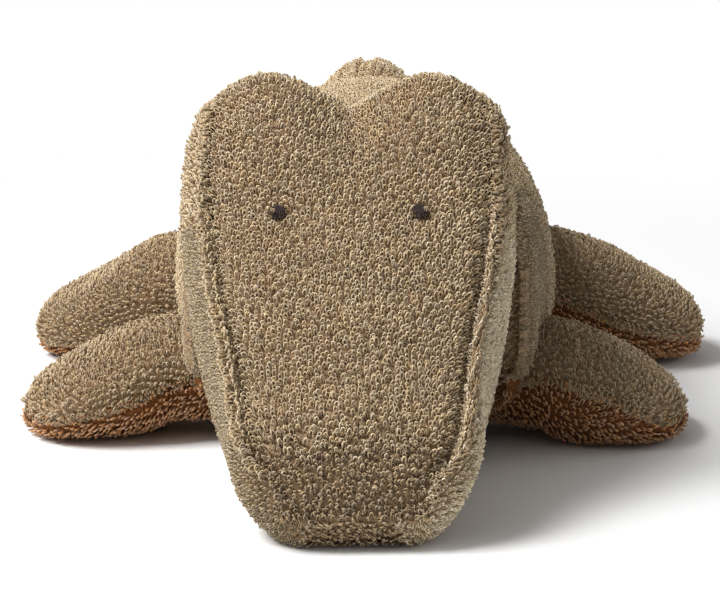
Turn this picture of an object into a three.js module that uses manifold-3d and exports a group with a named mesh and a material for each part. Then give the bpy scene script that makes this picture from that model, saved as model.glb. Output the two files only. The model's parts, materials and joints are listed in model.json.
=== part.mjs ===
// Plush crocodile, lying on its belly, sewn from looped terry cloth and stuffed.
// Each part of the animal is a loft of rounded sections. It is divided along its
// sewn seams into cloth panels, with its filling as a separate piece inside them.
// Millimetres, +Z up, nose towards -Y. Left and right are the animal's own sides,
// so its left is +X. Distances along the animal are measured back from the nose.
import * as THREE from 'three';
import { mergeVertices } from 'three/addons/utils/BufferGeometryUtils.js';
import Module from 'manifold-3d';

const wasm = await Module();
wasm.setup();

// Cloth and seams
const clothThickness = 2.4;
const seamGap = 0.3;
const restCut = 0.5;
const overrun = 60;

// The whole animal from nose to tail tip, and the shares of it that head and tail take
const animalLength = 450;
const headLengthShare = 0.3;
const tailLengthShare = 1 / 3;

// Head
const headHeight = 129;
const faceHalfWidth = 47;
const cheekHalfWidth = 58.5;
const eyeBumpRise = 11.6;
const faceCrown = 5;
const noseLift = 8;
const headTurnRadius = 75;
const headTurnDegrees = 2.6;

// Embroidered eyes
const eyeDiameter = 4.8;
const eyeThickness = 1.6;
const eyeSpacing = 46;
const noseToEyes = 74.5;

// Body, whose height follows the head's
const bodyHalfWidth = 69;
const bodyToHeadShare = 0.88;
const bodyMidHeight = 45;
const rumpLift = 9;
const bellySeamHeight = 23;

// Tail, whose height at its root follows the head's too
const tailHalfWidth = 42;
const tailToHeadShare = 0.864;
const tailMidHeight = 30;
const tailTipLift = 11;
const tailTurnRadius = 40;

// Legs. Each front edge lies so far behind the line that the head turns about, and each
// hinge line so far outward from the middle.
const frontLeg = { behindHead: 58, outward: 65, length: 50.5, depth: 58, height: 39, splay: -7 };
const backLeg = { behindHead: 165, outward: 67.5, length: 61.5, depth: 62, height: 50, splay: 12 };
const legLiftDegrees = 20;
const socketClearance = 0.6;

// Head sections from the nose to behind the neck seam, as shares of the head's sizes.
const headStationShares = [
  0, 0.011, 0.03, 0.059, 0.096, 0.148, 0.237, 0.341, 0.444, 0.556, 0.652, 0.741, 0.83, 0.919, 1.08,
];
const headTopShares = [
  0.092, 0.145, 0.191, 0.233, 0.271, 0.317, 0.397, 0.5, 0.603, 0.71, 0.802, 0.87, 0.911, 0.905, 0.87,
];
const eyeBumpShares = [0, 0, 0, 0, 0, 0, 0, 0, 0, 0.13, 0.43, 0.78, 1, 0.8, 0.2];
const crownShares = [0.2, 0.3, 0.4, 0.6, 0.7, 0.8, 0.9, 0.95, 1, 1, 0.8, 0.4, 0, 0, 0];
const seamWidthShares = [
  0.438, 0.489, 0.544, 0.645, 0.71, 0.75, 0.8, 0.87, 0.942, 0.99, 1, 0.99, 0.958, 0.958, 0.958,
];
const cheekWidthShares = [
  0.37, 0.42, 0.472, 0.538, 0.588, 0.617, 0.655, 0.712, 0.782, 0.85, 0.9, 0.93, 0.955, 0.975, 1,
];
const cheekHeightShares = [
  0.084, 0.099, 0.118, 0.141, 0.168, 0.198, 0.252, 0.33, 0.41, 0.48, 0.53, 0.56, 0.58, 0.59, 0.59,
];
const chinWidthShares = [
  0.25, 0.266, 0.282, 0.32, 0.36, 0.405, 0.46, 0.52, 0.57, 0.605, 0.625, 0.635, 0.64, 0.64, 0.64,
];
const noseLiftShares = [1, 0.56, 0.2, 0, 0, 0, 0, 0, 0, 0, 0, 0, 0, 0, 0];
const faceEdgeShares = [
  0.022, 0.04, 0.078, 0.128, 0.16, 0.19, 0.255, 0.32, 0.382, 0.42, 0.427, 0.42, 0.397, 0.382, 0.359,
];
const chinSeamShares = [
  0.022, 0.04, 0.078, 0.128, 0.16, 0.178, 0.195, 0.21, 0.229, 0.24, 0.24, 0.24, 0.24, 0.24, 0.24,
];
const bumpPeakShare = 0.6;
const bumpOuterShare = 0.46;
const bumpPower = 1.3;
const cheekPower = 1.5;
const slopeShare = 1.35;
const endShare = 1.2;
const thinnestShare = 0.35;

// Body sections, as shares of the length from the neck seam to the rump.
const bodyStationShares = [
  -0.224, -0.12, -0.03, 0.09, 0.242, 0.394, 0.545, 0.667, 0.77, 0.848, 0.915, 0.97, 1,
];
const bodyWidthShares = [
  0.846, 0.875, 0.897, 0.934, 0.978, 1, 1, 0.988, 0.945, 0.872, 0.757, 0.603, 0.44,
];
const bodyTopShares = [
  0.945, 0.957, 0.97, 0.987, 0.998, 1, 0.991, 0.97, 0.936, 0.885, 0.8, 0.68, 0.58,
];
const bodyMidShares = [1, 1, 1, 1, 1, 1, 1, 1, 1, 0.93, 0.84, 0.76, 0.71];
const bodyLiftShares = [0, 0, 0, 0, 0, 0, 0, 0, 0, 0, 0.12, 0.55, 1];
const bodyPowers = [3, 2.9, 2.7, 2.4, 2.15, 2, 2, 2, 2, 2, 2, 2, 2];
const bellyPower = 2.6;

// Tail sections, as shares of the length from the tail's turning axis to its tip.
const tailStationShares = [
  -0.293, -0.24, -0.18, -0.113, -0.04, 0.04, 0.147, 0.28, 0.427, 0.587, 0.747, 0.88, 0.96, 1,
];
const tailWidthShares = [
  1, 1, 1, 0.985, 0.955, 0.924, 0.821, 0.738, 0.643, 0.536, 0.429, 0.329, 0.226, 0.1,
];
const tailTopShares = [
  0.885, 0.931, 0.981, 1.003, 0.988, 0.99, 0.942, 0.845, 0.722, 0.58, 0.435, 0.32, 0.25, 0.16,
];
const tailMidShares = [1, 1, 1, 1, 1, 0.98, 0.95, 0.9, 0.83, 0.73, 0.63, 0.55, 0.5, 0.48];
const tailLiftShares = [0, 0, 0, 0, 0, 0, 0, 0, 0, 0, 0, 0.02, 0.3, 1];
const tailPowers = [1.9, 1.9, 1.9, 1.9, 1.85, 1.8, 1.75, 1.75, 1.8, 1.9, 2, 2, 2, 2];
const tailSeamShare = 0.55;

// Leg sections, as shares of the leg's length out from its hinge line.
const legStationShares = [-0.5, -0.2, 0, 0.15, 0.35, 0.55, 0.72, 0.86, 0.95, 1];
const legTopShares = [1, 1, 1, 0.97, 0.89, 0.77, 0.65, 0.54, 0.45, 0.34];
const legBottomShares = [0.12, 0.12, 0.12, 0.04, 0, 0, 0, 0.01, 0.04, 0.09];
const legSeamShares = [0.5, 0.5, 0.48, 0.45, 0.4, 0.36, 0.35, 0.36, 0.38, 0.4];
const legDepthShares = [0.84, 0.85, 0.87, 0.94, 1, 1, 0.94, 0.8, 0.62, 0.36];
const legPower = 2.2;

// Points round a section
const facePoints = 10;
const cheekPoints = 3;
const underPoints = 3;
const chinPoints = 4;
const bodyPoints = 22;
const tailPoints = 16;
const legPoints = 12;

// Colours and surfaces
const khakiCloth = { color: 0xa29170, roughness: 0.95, metalness: 0 };
const rustCloth = { color: 0x9a6132, roughness: 0.95, metalness: 0 };
const whiteFibre = { color: 0xe9e4d8, roughness: 1, metalness: 0 };
const charcoalThread = { color: 0x34302d, roughness: 0.6, metalness: 0 };

// Places in a point's list of coordinates
const [X, Y, Z] = ['x', 'y', 'z'].keys();

const noseToNeck = headLengthShare * animalLength;
const rumpToTailTip = tailLengthShare * animalLength;
const neckToRump = animalLength - noseToNeck - rumpToTailTip;
const bodyHeight = bodyToHeadShare * headHeight;
const tailHeight = tailToHeadShare * headHeight;

const power = (value, exponent) => Math.sign(value) * Math.abs(value) ** exponent;

// A solid from points and triangles, turned inside out where they wind the other way.
function solidFrom(points, triangles) {
  const turned = (faces) => new wasm.Mesh({
    numProp: 3,
    vertProperties: new Float32Array(points.flat()),
    triVerts: new Uint32Array(faces.flat()),
  });
  const solid = new wasm.Manifold(turned(triangles));
  if (solid.volume() > 0) return solid;
  return new wasm.Manifold(turned(triangles.map(([a, b, c]) => [a, c, b])));
}

// A closed solid through rings of equally many points, with a flat fan at each end.
function loft(rings) {
  const count = rings[0].length;
  const points = rings.flat();
  const triangles = [];
  for (let ring = 0; ring + 1 < rings.length; ring += 1) {
    for (let step = 0; step < count; step += 1) {
      const next = (step + 1) % count;
      const a = ring * count + step;
      const b = ring * count + next;
      triangles.push([a, b, a + count], [b, b + count, a + count]);
    }
  }
  const last = (rings.length - 1) * count;
  for (let step = 1; step + 1 < count; step += 1) {
    triangles.push([0, step + 1, step], [last, last + step, last + step + 1]);
  }
  return solidFrom(points, triangles);
}

// The same rings drawn in by a distance on every side and at both ends.
function drawnIn(rings, distance, along) {
  const ends = [rings[0][0][along], rings[rings.length - 1][0][along]];
  const shift = distance * endShare;
  const across = along === Y ? X : Y;
  return rings.map((ring) => {
    const spans = [across, Z].map((axis) => {
      const values = ring.map((point) => point[axis]);
      return { low: Math.min(...values), high: Math.max(...values) };
    });
    return ring.map((point) => {
      const moved = [...point];
      moved[along] = Math.min(Math.max(point[along], ends[0] + shift), ends[1] - shift);
      [across, Z].forEach((axis, index) => {
        const { low, high } = spans[index];
        const middle = (low + high) / 2;
        const half = (high - low) / 2;
        const inset = axis === Z ? distance * slopeShare : distance;
        const share = Math.max(1 - inset / half, thinnestShare);
        moved[axis] = middle + (point[axis] - middle) * share;
      });
      return moved;
    });
  });
}

// A rounded section: half a superellipse above its middle height and half below it.
function roundSection({ count, place, middle, halfWidth, mid, top, bottom, upper, lower }, along) {
  const points = [];
  for (let step = 0; step < count; step += 1) {
    const angle = (2 * Math.PI * step) / count;
    const exponent = Math.sin(angle) > 0 ? upper : lower;
    const rise = Math.sin(angle) > 0 ? top - mid : mid - bottom;
    const across = middle + halfWidth * power(Math.cos(angle), 2 / exponent);
    const height = mid + rise * power(Math.sin(angle), 2 / exponent);
    points.push(along === Y ? [across, place, height] : [place, across, height]);
  }
  return points;
}

// A straight wall of material over an outline drawn in two of the three directions.
function prism(outline, through, reach) {
  const shape = new THREE.Shape(outline.map(([u, v]) => new THREE.Vector2(u, v)));
  const geometry = new THREE.ExtrudeGeometry(shape, { depth: 2 * reach, bevelEnabled: false });
  geometry.translate(0, 0, -reach);
  const order = { x: [Z, X, Y], y: [X, Z, Y], z: [X, Y, Z] }[through];
  return fromGeometry(geometry, order);
}

function fromGeometry(geometry, order = [X, Y, Z]) {
  const bare = geometry.clone();
  bare.deleteAttribute('normal');
  bare.deleteAttribute('uv');
  const merged = mergeVertices(bare);
  const { position } = merged.attributes;
  const points = [];
  for (let index = 0; index < position.count; index += 1) {
    const point = [position.getX(index), position.getY(index), position.getZ(index)];
    points.push(order.map((axis) => point[axis]));
  }
  const triangles = [];
  for (let index = 0; index < merged.index.count; index += 3) {
    triangles.push([0, 1, 2].map((corner) => merged.index.getX(index + corner)));
  }
  return solidFrom(points, triangles);
}

function slab(from, to) {
  const geometry = new THREE.BoxGeometry(to[0] - from[0], to[1] - from[1], to[2] - from[2]);
  geometry.translate((to[0] + from[0]) / 2, (to[1] + from[1]) / 2, (to[2] + from[2]) / 2);
  return fromGeometry(geometry);
}

// A round bar along Z or Y, for the turning faces. Its flats stay within half the seam
// gap of the true circle, so that one bar can turn inside another.
function bar(radius, length, centre, alongDepth = false) {
  const sides = 4 * Math.ceil(Math.PI / Math.acos(1 - seamGap / 2 / radius) / 4);
  const geometry = new THREE.CylinderGeometry(radius, radius, length, sides);
  if (!alongDepth) geometry.rotateX(Math.PI / 2);
  geometry.translate(...centre);
  return fromGeometry(geometry);
}

const aboveFloor = slab(
  [-animalLength, -overrun, 0],
  [animalLength, animalLength + overrun, headHeight + overrun],
);

// Cuts a loft into its hollow cloth and the filling that the cloth holds.
function clothAndFilling(rings, along, keep) {
  const outer = loft(rings).intersect(keep);
  const hollow = loft(drawnIn(rings, clothThickness, along));
  const core = loft(drawnIn(rings, clothThickness + seamGap, along));
  return { cloth: outer.subtract(hollow), filling: core.intersect(keep), outer };
}

const animal = new THREE.Group();

function addPiece(name, solid, surface, holder = animal) {
  const { numProp, vertProperties, triVerts } = solid.getMesh();
  const positions = [];
  for (let index = 0; index < vertProperties.length; index += numProp) {
    positions.push(vertProperties[index], vertProperties[index + 1], vertProperties[index + 2]);
  }
  const geometry = new THREE.BufferGeometry();
  geometry.setAttribute('position', new THREE.Float32BufferAttribute(positions, 3));
  geometry.setIndex(Array.from(triVerts));
  const piece = new THREE.Mesh(geometry, new THREE.MeshStandardMaterial(surface));
  piece.name = name;
  holder.add(piece);
  return piece;
}

// Head: a panel over forehead, snout and nose, a cheek on each side and a chin panel.
const headStations = headStationShares.map((share) => share * noseToNeck);

function bumpProfile(across) {
  if (across < bumpPeakShare) {
    return Math.sin((Math.PI / 2) * (across / bumpPeakShare)) ** bumpPower;
  }
  return Math.cos((Math.PI / 2) * ((across - bumpPeakShare) / bumpOuterShare));
}

function faceHeight(index, across) {
  const top = headTopShares[index] * headHeight;
  const bump = eyeBumpShares[index] * eyeBumpRise * bumpProfile(Math.abs(across));
  return top + bump - crownShares[index] * faceCrown * across ** 2;
}

function headSection(index) {
  const place = headStations[index];
  const seam = seamWidthShares[index] * faceHalfWidth;
  const cheek = cheekWidthShares[index] * cheekHalfWidth;
  const cheekHeight = cheekHeightShares[index] * headHeight;
  const chin = chinWidthShares[index] * cheekHalfWidth;
  const floor = noseLiftShares[index] * noseLift - restCut;
  const seamHeight = faceHeight(index, 1);
  const side = [];
  for (let step = 1; step <= cheekPoints; step += 1) {
    const angle = ((Math.PI / 2) * step) / cheekPoints;
    side.push([
      seam + (cheek - seam) * Math.sin(angle),
      cheekHeight + (seamHeight - cheekHeight) * Math.cos(angle),
    ]);
  }
  for (let step = 1; step <= underPoints; step += 1) {
    const angle = ((Math.PI / 2) * step) / underPoints;
    side.push([
      chin + (cheek - chin) * power(Math.cos(angle), 2 / cheekPower),
      cheekHeight - (cheekHeight - floor) * power(Math.sin(angle), 2 / cheekPower),
    ]);
  }
  const points = [];
  for (let step = 0; step <= facePoints; step += 1) {
    const across = (2 * step) / facePoints - 1;
    points.push([across * seam, place, faceHeight(index, across)]);
  }
  side.forEach(([across, height]) => points.push([across, place, height]));
  for (let step = 1; step < chinPoints; step += 1) {
    points.push([chin * (1 - (2 * step) / chinPoints), place, floor]);
  }
  side.reverse().forEach(([across, height]) => points.push([-across, place, height]));
  return points;
}

const headTurnPlace = noseToNeck - headTurnRadius;
const upright = 2 * (headHeight + overrun);
const headTurning = bar(headTurnRadius, upright, [0, headTurnPlace, 0]);
const headRings = headStations.map((place, index) => headSection(index));
const head = clothAndFilling(headRings, Y, aboveFloor.intersect(headTurning));

// The outline, seen from above, between the two seams of a panel on the head.
function betweenSeams(shares, halfWidth, margin) {
  const right = headStations.map((place, index) => [shares[index] * halfWidth + margin, place]);
  right[0][1] = -overrun;
  right[right.length - 1][1] += overrun;
  const left = right.map(([across, place]) => [-across, place]).reverse();
  return prism([...right, ...left], 'z', headHeight + overrun);
}

function overSeam(shares, margin) {
  const seam = headStations.map((place, index) => [place, shares[index] * headHeight + margin]);
  const first = [-overrun, seam[0][1]];
  const last = [noseToNeck + overrun, seam[seam.length - 1][1]];
  const lid = headHeight + overrun;
  return prism([first, ...seam, last, [last[0], lid], [first[0], lid]], 'x', cheekHalfWidth + overrun);
}

const half = seamGap / 2;
function faceStrip(margin) {
  return betweenSeams(seamWidthShares, faceHalfWidth, margin)
    .intersect(overSeam(faceEdgeShares, -margin));
}

function chinStrip(margin) {
  return betweenSeams(chinWidthShares, cheekHalfWidth, margin)
    .subtract(overSeam(chinSeamShares, margin));
}

const cheeks = head.cloth.subtract(faceStrip(half)).subtract(chinStrip(half));
const leftSide = slab([0, -overrun, -overrun], [animalLength, animalLength + overrun, upright]);

const headGroup = new THREE.Group();
headGroup.position.set(0, headTurnPlace, 0);
headGroup.rotation.z = THREE.MathUtils.degToRad(headTurnDegrees);
animal.add(headGroup);
const onHead = (solid) => solid.translate([0, -headTurnPlace, 0]);

addPiece('face_panel', onHead(head.cloth.intersect(faceStrip(-half))), khakiCloth, headGroup);
addPiece('cheek_panel_left', onHead(cheeks.intersect(leftSide)), khakiCloth, headGroup);
addPiece('cheek_panel_right', onHead(cheeks.subtract(leftSide)), khakiCloth, headGroup);
addPiece('chin_panel', onHead(head.cloth.intersect(chinStrip(-half))), rustCloth, headGroup);
addPiece('head_filling', onHead(head.filling), whiteFibre, headGroup);

// Eyes: domed pads of thread that lie on the slope of the face panel.
function facePoint(place, across) {
  const index = headStations.findIndex((station) => station > place) - 1;
  const span = headStations[index + 1] - headStations[index];
  const share = (place - headStations[index]) / span;
  const near = faceHeight(index, across);
  const rise = faceHeight(index + 1, across) - near;
  return { height: near + rise * share, slope: Math.atan2(rise, span) };
}

const eyeAcross = eyeSpacing / 2 / faceHalfWidth;
const eyeSeat = facePoint(noseToEyes, eyeAcross);
const eyeStand = eyeThickness / 2 + seamGap;
for (const [side, sign] of [['left', 1], ['right', -1]]) {
  const pad = new THREE.SphereGeometry(1, 14, 8);
  pad.scale(eyeDiameter / 2, eyeDiameter / 2, eyeThickness / 2);
  const eye = addPiece(`eye_${side}`, fromGeometry(pad), charcoalThread, headGroup);
  eye.rotation.x = eyeSeat.slope;
  eye.position.set(
    (sign * eyeSpacing) / 2,
    noseToEyes - headTurnPlace - Math.sin(eyeSeat.slope) * eyeStand,
    eyeSeat.height + Math.cos(eyeSeat.slope) * eyeStand,
  );
}

// Legs: an upper panel and a sole that meet low on the side, around a filling.
function legRings({ length, depth, height }, sign) {
  return legStationShares.map((share, index) => roundSection({
    count: legPoints,
    place: sign * share * length,
    middle: 0,
    halfWidth: (legDepthShares[index] * depth) / 2,
    mid: ((legTopShares[index] + legBottomShares[index]) * height) / 2 - restCut / 2,
    top: legTopShares[index] * height,
    bottom: legBottomShares[index] * height - restCut,
    upper: legPower,
    lower: legPower,
  }, X)).sort((a, b) => a[0][X] - b[0][X]);
}

const hingeShare = legStationShares.indexOf(0);
const legAxisHeight = ({ height }) => (
  ((legTopShares[hingeShare] + legBottomShares[hingeShare]) * height - restCut) / 2
);
const legRootRadius = ({ height }) => (
  ((legTopShares[hingeShare] - legBottomShares[hingeShare]) * height + restCut)
  / 2 / Math.cos(THREE.MathUtils.degToRad(legLiftDegrees))
);

function overLegSeam({ length, depth, height }, sign, margin) {
  const seam = legStationShares.map((share, index) => [
    sign * share * length,
    legSeamShares[index] * legTopShares[index] * height
      + (1 - legSeamShares[index]) * (legBottomShares[index] * height - restCut) + margin,
  ]);
  const outermost = seam[seam.length - 1];
  const innermost = seam[0];
  const lid = height + overrun;
  const outline = [
    [innermost[0] - sign * overrun, innermost[1]], ...seam,
    [outermost[0] + sign * overrun, outermost[1]],
    [outermost[0] + sign * overrun, lid], [innermost[0] - sign * overrun, lid],
  ];
  return prism(outline, 'y', depth);
}

const sockets = [];
for (const [end, leg] of [['front', frontLeg], ['back', backLeg]]) {
  for (const [side, sign] of [['left', 1], ['right', -1]]) {
    const axisHeight = legAxisHeight(leg);
    const rootRadius = legRootRadius(leg);
    const reach = leg.length + overrun;
    const outside = slab(
      [sign > 0 ? 0 : -reach, -leg.depth, 0],
      [sign > 0 ? reach : 0, leg.depth, leg.height + overrun],
    );
    const root = bar(rootRadius, 2 * leg.depth, [0, 0, axisHeight], true);
    const keep = outside.add(root).intersect(slab([-reach, -leg.depth, 0], [reach, leg.depth, reach]));
    const { cloth, filling } = clothAndFilling(legRings(leg, sign), X, keep);
    const legGroup = new THREE.Group();
    legGroup.position.set(sign * leg.outward, headTurnPlace + leg.behindHead + leg.depth / 2, 0);
    legGroup.rotation.z = THREE.MathUtils.degToRad(sign * leg.splay);
    animal.add(legGroup);
    const name = `${end}_${side}_leg`;
    addPiece(`${name}_upper`, cloth.intersect(overLegSeam(leg, sign, half)), khakiCloth, legGroup);
    addPiece(`${name}_sole`, cloth.subtract(overLegSeam(leg, sign, -half)), rustCloth, legGroup);
    addPiece(`${name}_filling`, filling, whiteFibre, legGroup);
    const socketLength = legDepthShares[hingeShare] * leg.depth + 2 * socketClearance;
    const socket = bar(rootRadius + seamGap, socketLength, [0, 0, axisHeight], true);
    legGroup.updateMatrix();
    sockets.push(socket.transform(legGroup.matrix.elements));
  }
}

// Tail: two side panels that meet in a ridge, an underside and a filling.
const tailAxisPlace = noseToNeck + neckToRump;
const tailPlaces = tailStationShares.map((share) => tailAxisPlace + share * rumpToTailTip);
const tailMid = (index) => tailMidShares[index] * tailMidHeight;
const tailRings = tailPlaces.map((place, index) => roundSection({
  count: tailPoints,
  place,
  middle: 0,
  halfWidth: tailWidthShares[index] * tailHalfWidth,
  mid: tailMid(index),
  top: tailTopShares[index] * tailHeight,
  bottom: tailLiftShares[index] * tailTipLift - restCut,
  upper: tailPowers[index],
  lower: bellyPower,
}, Y));
const behindAxis = slab(
  [-animalLength, tailAxisPlace, -overrun],
  [animalLength, animalLength + overrun, upright],
);
const tailTurning = bar(tailTurnRadius, upright, [0, tailAxisPlace, 0]).add(behindAxis);
const tail = clothAndFilling(tailRings, Y, aboveFloor.intersect(tailTurning));

function overTailSeam(margin) {
  const seam = tailPlaces.map((place, index) => [place, tailMid(index) * tailSeamShare + margin]);
  const last = [animalLength + overrun, seam[seam.length - 1][1]];
  const first = [seam[0][0] - overrun, seam[0][1]];
  const lid = tailHeight + overrun;
  return prism([first, ...seam, last, [last[0], lid], [first[0], lid]], 'x', tailHalfWidth + overrun);
}

const tailSides = tail.cloth.intersect(overTailSeam(half));
const ridge = slab([-half, -overrun, -overrun], [half, animalLength + overrun, upright]);
const splitTail = tailSides.subtract(ridge);
addPiece('tail_side_left', splitTail.intersect(leftSide), khakiCloth);
addPiece('tail_side_right', splitTail.subtract(leftSide), khakiCloth);
addPiece('tail_underside', tail.cloth.subtract(overTailSeam(-half)), rustCloth);
addPiece('tail_filling', tail.filling, whiteFibre);

// Body: a back and a belly panel around the filling, hollowed where head, tail and legs seat.
const bodyPlaces = bodyStationShares.map((share) => noseToNeck + share * neckToRump);
const bodyRings = bodyPlaces.map((place, index) => roundSection({
  count: bodyPoints,
  place,
  middle: 0,
  halfWidth: bodyWidthShares[index] * bodyHalfWidth,
  mid: bodyMidShares[index] * bodyMidHeight,
  top: bodyTopShares[index] * bodyHeight,
  bottom: bodyLiftShares[index] * rumpLift - restCut,
  upper: bodyPowers[index],
  lower: bellyPower,
}, Y));
const body = clothAndFilling(bodyRings, Y, aboveFloor);
const neckHollow = bar(headTurnRadius + seamGap, upright, [0, headTurnPlace, 0]);
const rumpHollow = bar(tailTurnRadius + seamGap, upright, [0, tailAxisPlace, 0]);
const seat = (solid) => sockets.reduce((rest, socket) => rest.subtract(socket), solid)
  .subtract(neckHollow)
  .subtract(rumpHollow);
const bodyCloth = seat(body.cloth);
const wide = animalLength;
const overBelly = slab([-wide, 0, bellySeamHeight + half], [wide, wide, upright]);
const underBelly = slab([-wide, 0, -overrun], [wide, wide, bellySeamHeight - half]);
addPiece('back_panel', bodyCloth.intersect(overBelly), khakiCloth);
addPiece('belly_panel', bodyCloth.intersect(underBelly), rustCloth);
addPiece('body_filling', seat(body.filling), whiteFibre);

// The origin is under the middle of the whole animal, on the surface that it lies on.
const crocodile = new THREE.Group();
crocodile.add(animal);
crocodile.updateMatrixWorld(true);
const box = new THREE.Box3().setFromObject(crocodile);
animal.position.set(-(box.min.x + box.max.x) / 2, -(box.min.y + box.max.y) / 2, 0);

export default crocodile;
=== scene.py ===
import json
import math
import bmesh
import bpy
import numpy as np
from mathutils import Matrix, Vector


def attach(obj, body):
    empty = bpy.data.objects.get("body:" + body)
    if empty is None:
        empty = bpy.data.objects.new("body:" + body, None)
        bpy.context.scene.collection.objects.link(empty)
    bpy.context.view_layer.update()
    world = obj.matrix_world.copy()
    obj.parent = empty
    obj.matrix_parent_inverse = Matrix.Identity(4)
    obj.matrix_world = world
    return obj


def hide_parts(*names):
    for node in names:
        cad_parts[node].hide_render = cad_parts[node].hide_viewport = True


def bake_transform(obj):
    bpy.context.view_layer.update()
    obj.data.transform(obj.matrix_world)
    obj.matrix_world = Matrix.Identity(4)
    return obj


# Looks of the plush crocodile: looped terry cloth sewn over stuffed forms, with
# embroidered eyes. Lengths are in millimetres until a mesh is made. Left and right are
# the animal's own sides, and a side's sign is 1 on the left and -1 on the right.
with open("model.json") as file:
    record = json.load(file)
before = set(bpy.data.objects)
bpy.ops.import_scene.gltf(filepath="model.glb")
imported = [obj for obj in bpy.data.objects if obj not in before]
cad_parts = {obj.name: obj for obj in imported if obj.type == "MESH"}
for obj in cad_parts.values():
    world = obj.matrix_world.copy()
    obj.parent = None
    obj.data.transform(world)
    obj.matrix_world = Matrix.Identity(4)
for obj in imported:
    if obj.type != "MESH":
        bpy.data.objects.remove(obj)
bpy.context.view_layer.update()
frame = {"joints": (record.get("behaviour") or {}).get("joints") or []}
METRES = 0.001
SEED = 20
rng = np.random.default_rng(SEED)

joints = {joint["name"]: joint for joint in frame["joints"]}
TAIL_AXIS = 300.0
BACK_OF_FRAME = joints["tail_sway"]["pos_m"][1] / METRES - TAIL_AXIS

# Sizes of the forms, as the sewn patterns have them. Places count back from the nose.
NOSE_TO_NECK, NECK_TO_RUMP, RUMP_TO_TIP = 135.0, 165.0, 150.0
HEAD_HEIGHT, FACE_HALF, CHEEK_HALF = 129.0, 47.0, 58.5
EYE_BUMP, FACE_CROWN, NOSE_LIFT = 11.6, 7.5, 8.0
HEAD_TURN_RADIUS, HEAD_TURN = 75.0, 2.6
BODY_HALF, BODY_HEIGHT, BODY_MID, RUMP_LIFT, BELLY_SEAM = 69.0, 113.52, 45.0, 9.0, 23.0
TAIL_HALF, TAIL_HEIGHT, TAIL_MID, TIP_LIFT, TAIL_SEAM_SHARE = 42.0, 111.46, 30.0, 11.0, 0.55
TAIL_IN_BODY, NECK_SPACE = 36.0, 0.3
REST_CUT = 0.5
FRONT_LEG = {"place": 147.0, "outward": 65.0, "length": 50.5, "depth": 58.0, "height": 39.0, "splay": -7.0}
BACK_LEG = {"place": 256.0, "outward": 67.5, "length": 61.5, "depth": 62.0, "height": 50.0, "splay": 12.0}

# Cloth: how deep the backing lies under the solids' surface, and the pile on it
INSET, LUMP_DEPTH, BACKING_CLEAR = 1.7, 0.55, 1.0
PITCH_ACROSS, PITCH_ALONG = 1.88, 1.6
SEAM_DEPTH, SEAM_WIDTH, LEG_SEAM_DEPTH = 3.2, 2.4, 1.9
EDGE_LOOPS, FACE_EDGE_LOOPS = 3.6, 11.0
RIDGE_HEIGHT, RIDGE_WIDTH = 0.4, 1.8
GROOVE_INSIDE, GROOVE_WIDTH, GROOVE_WIDTH_LEFT, GROOVE_DEPTH = 3.2, 2.4, 3.6, 3.2
GROOVE_SHARES = (1.6, 0.55)
THINNEST_SHARE = 0.3

# Tables along each form
HEAD_AT = np.array([0, .011, .03, .059, .096, .148, .237, .341, .444, .556, .652, .741, .83, .919, 1.08])
HEAD = {
    "top": [.092, .145, .191, .233, .271, .317, .397, .5, .603, .71, .802, .87, .911, .905, .87],
    "bump": [0, 0, 0, 0, 0, 0, 0, 0, 0, .13, .43, .78, 1, .8, .2],
    "crown": [.2, .3, .4, .6, .7, .8, .9, .95, 1, 1, .8, .4, 0, 0, 0],
    "seam": [.438, .489, .544, .645, .71, .75, .8, .87, .942, .99, 1, .99, .958, .958, .958],
    "cheek": [.37, .42, .472, .538, .588, .617, .655, .712, .782, .85, .9, .93, .955, .975, 1],
    "cheek_at": [.084, .099, .118, .141, .168, .198, .252, .33, .41, .48, .53, .56, .58, .59, .59],
    "chin": [.25, .266, .282, .32, .36, .405, .46, .52, .57, .605, .625, .635, .64, .64, .64],
    "lift": [1, .56, .2, 0, 0, 0, 0, 0, 0, 0, 0, 0, 0, 0, 0],
}
BODY_AT = np.array([-.224, -.12, -.03, .09, .242, .394, .545, .667, .77, .848, .915, .97, 1])
BODY = {
    "width": [.846, .875, .897, .934, .978, 1, 1, .988, .945, .872, .757, .603, .44],
    "top": [.945, .957, .97, .987, .998, 1, .991, .97, .936, .885, .8, .68, .58],
    "mid": [1, 1, 1, 1, 1, 1, 1, 1, 1, .93, .84, .76, .71],
    "lift": [0, 0, 0, 0, 0, 0, 0, 0, 0, 0, .12, .55, 1],
    "power": [3, 2.9, 2.7, 2.4, 2.15, 2, 2, 2, 2, 2, 2, 2, 2],
}
TAIL_AT = np.array([-.293, -.24, -.18, -.113, -.04, .04, .147, .28, .427, .587, .747, .88, .96, 1])
TAIL = {
    "width": [1, 1, 1, .985, .955, .924, .821, .738, .643, .536, .429, .329, .226, .1],
    "top": [.885, .931, .981, 1.003, .988, .99, .942, .845, .722, .58, .435, .32, .25, .16],
    "mid": [1, 1, 1, 1, 1, .98, .95, .9, .83, .73, .63, .55, .5, .48],
    "lift": [0, 0, 0, 0, 0, 0, 0, 0, 0, 0, 0, .02, .3, 1],
    "power": [1.9, 1.9, 1.9, 1.9, 1.85, 1.8, 1.75, 1.75, 1.8, 1.9, 2, 2, 2, 2],
}
LEG_AT = np.array([-.5, -.2, 0, .15, .35, .55, .72, .86, .95, 1])
LEG = {
    "top": [1, 1, 1, .97, .89, .77, .65, .54, .45, .34],
    "bottom": [.12, .12, .12, .04, 0, 0, 0, .01, .04, .09],
    "seam": [.5, .5, .48, .45, .4, .36, .35, .36, .38, .4],
    "depth": [.84, .85, .87, .94, 1, 1, .94, .8, .62, .36],
}
UNDER_POWER, LEG_POWER, CHEEK_POWER = 2.6, 2.2, 1.5
BUMP_PEAK, BUMP_OUTER, BUMP_POWER = 0.6, 0.46, 1.3
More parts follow.
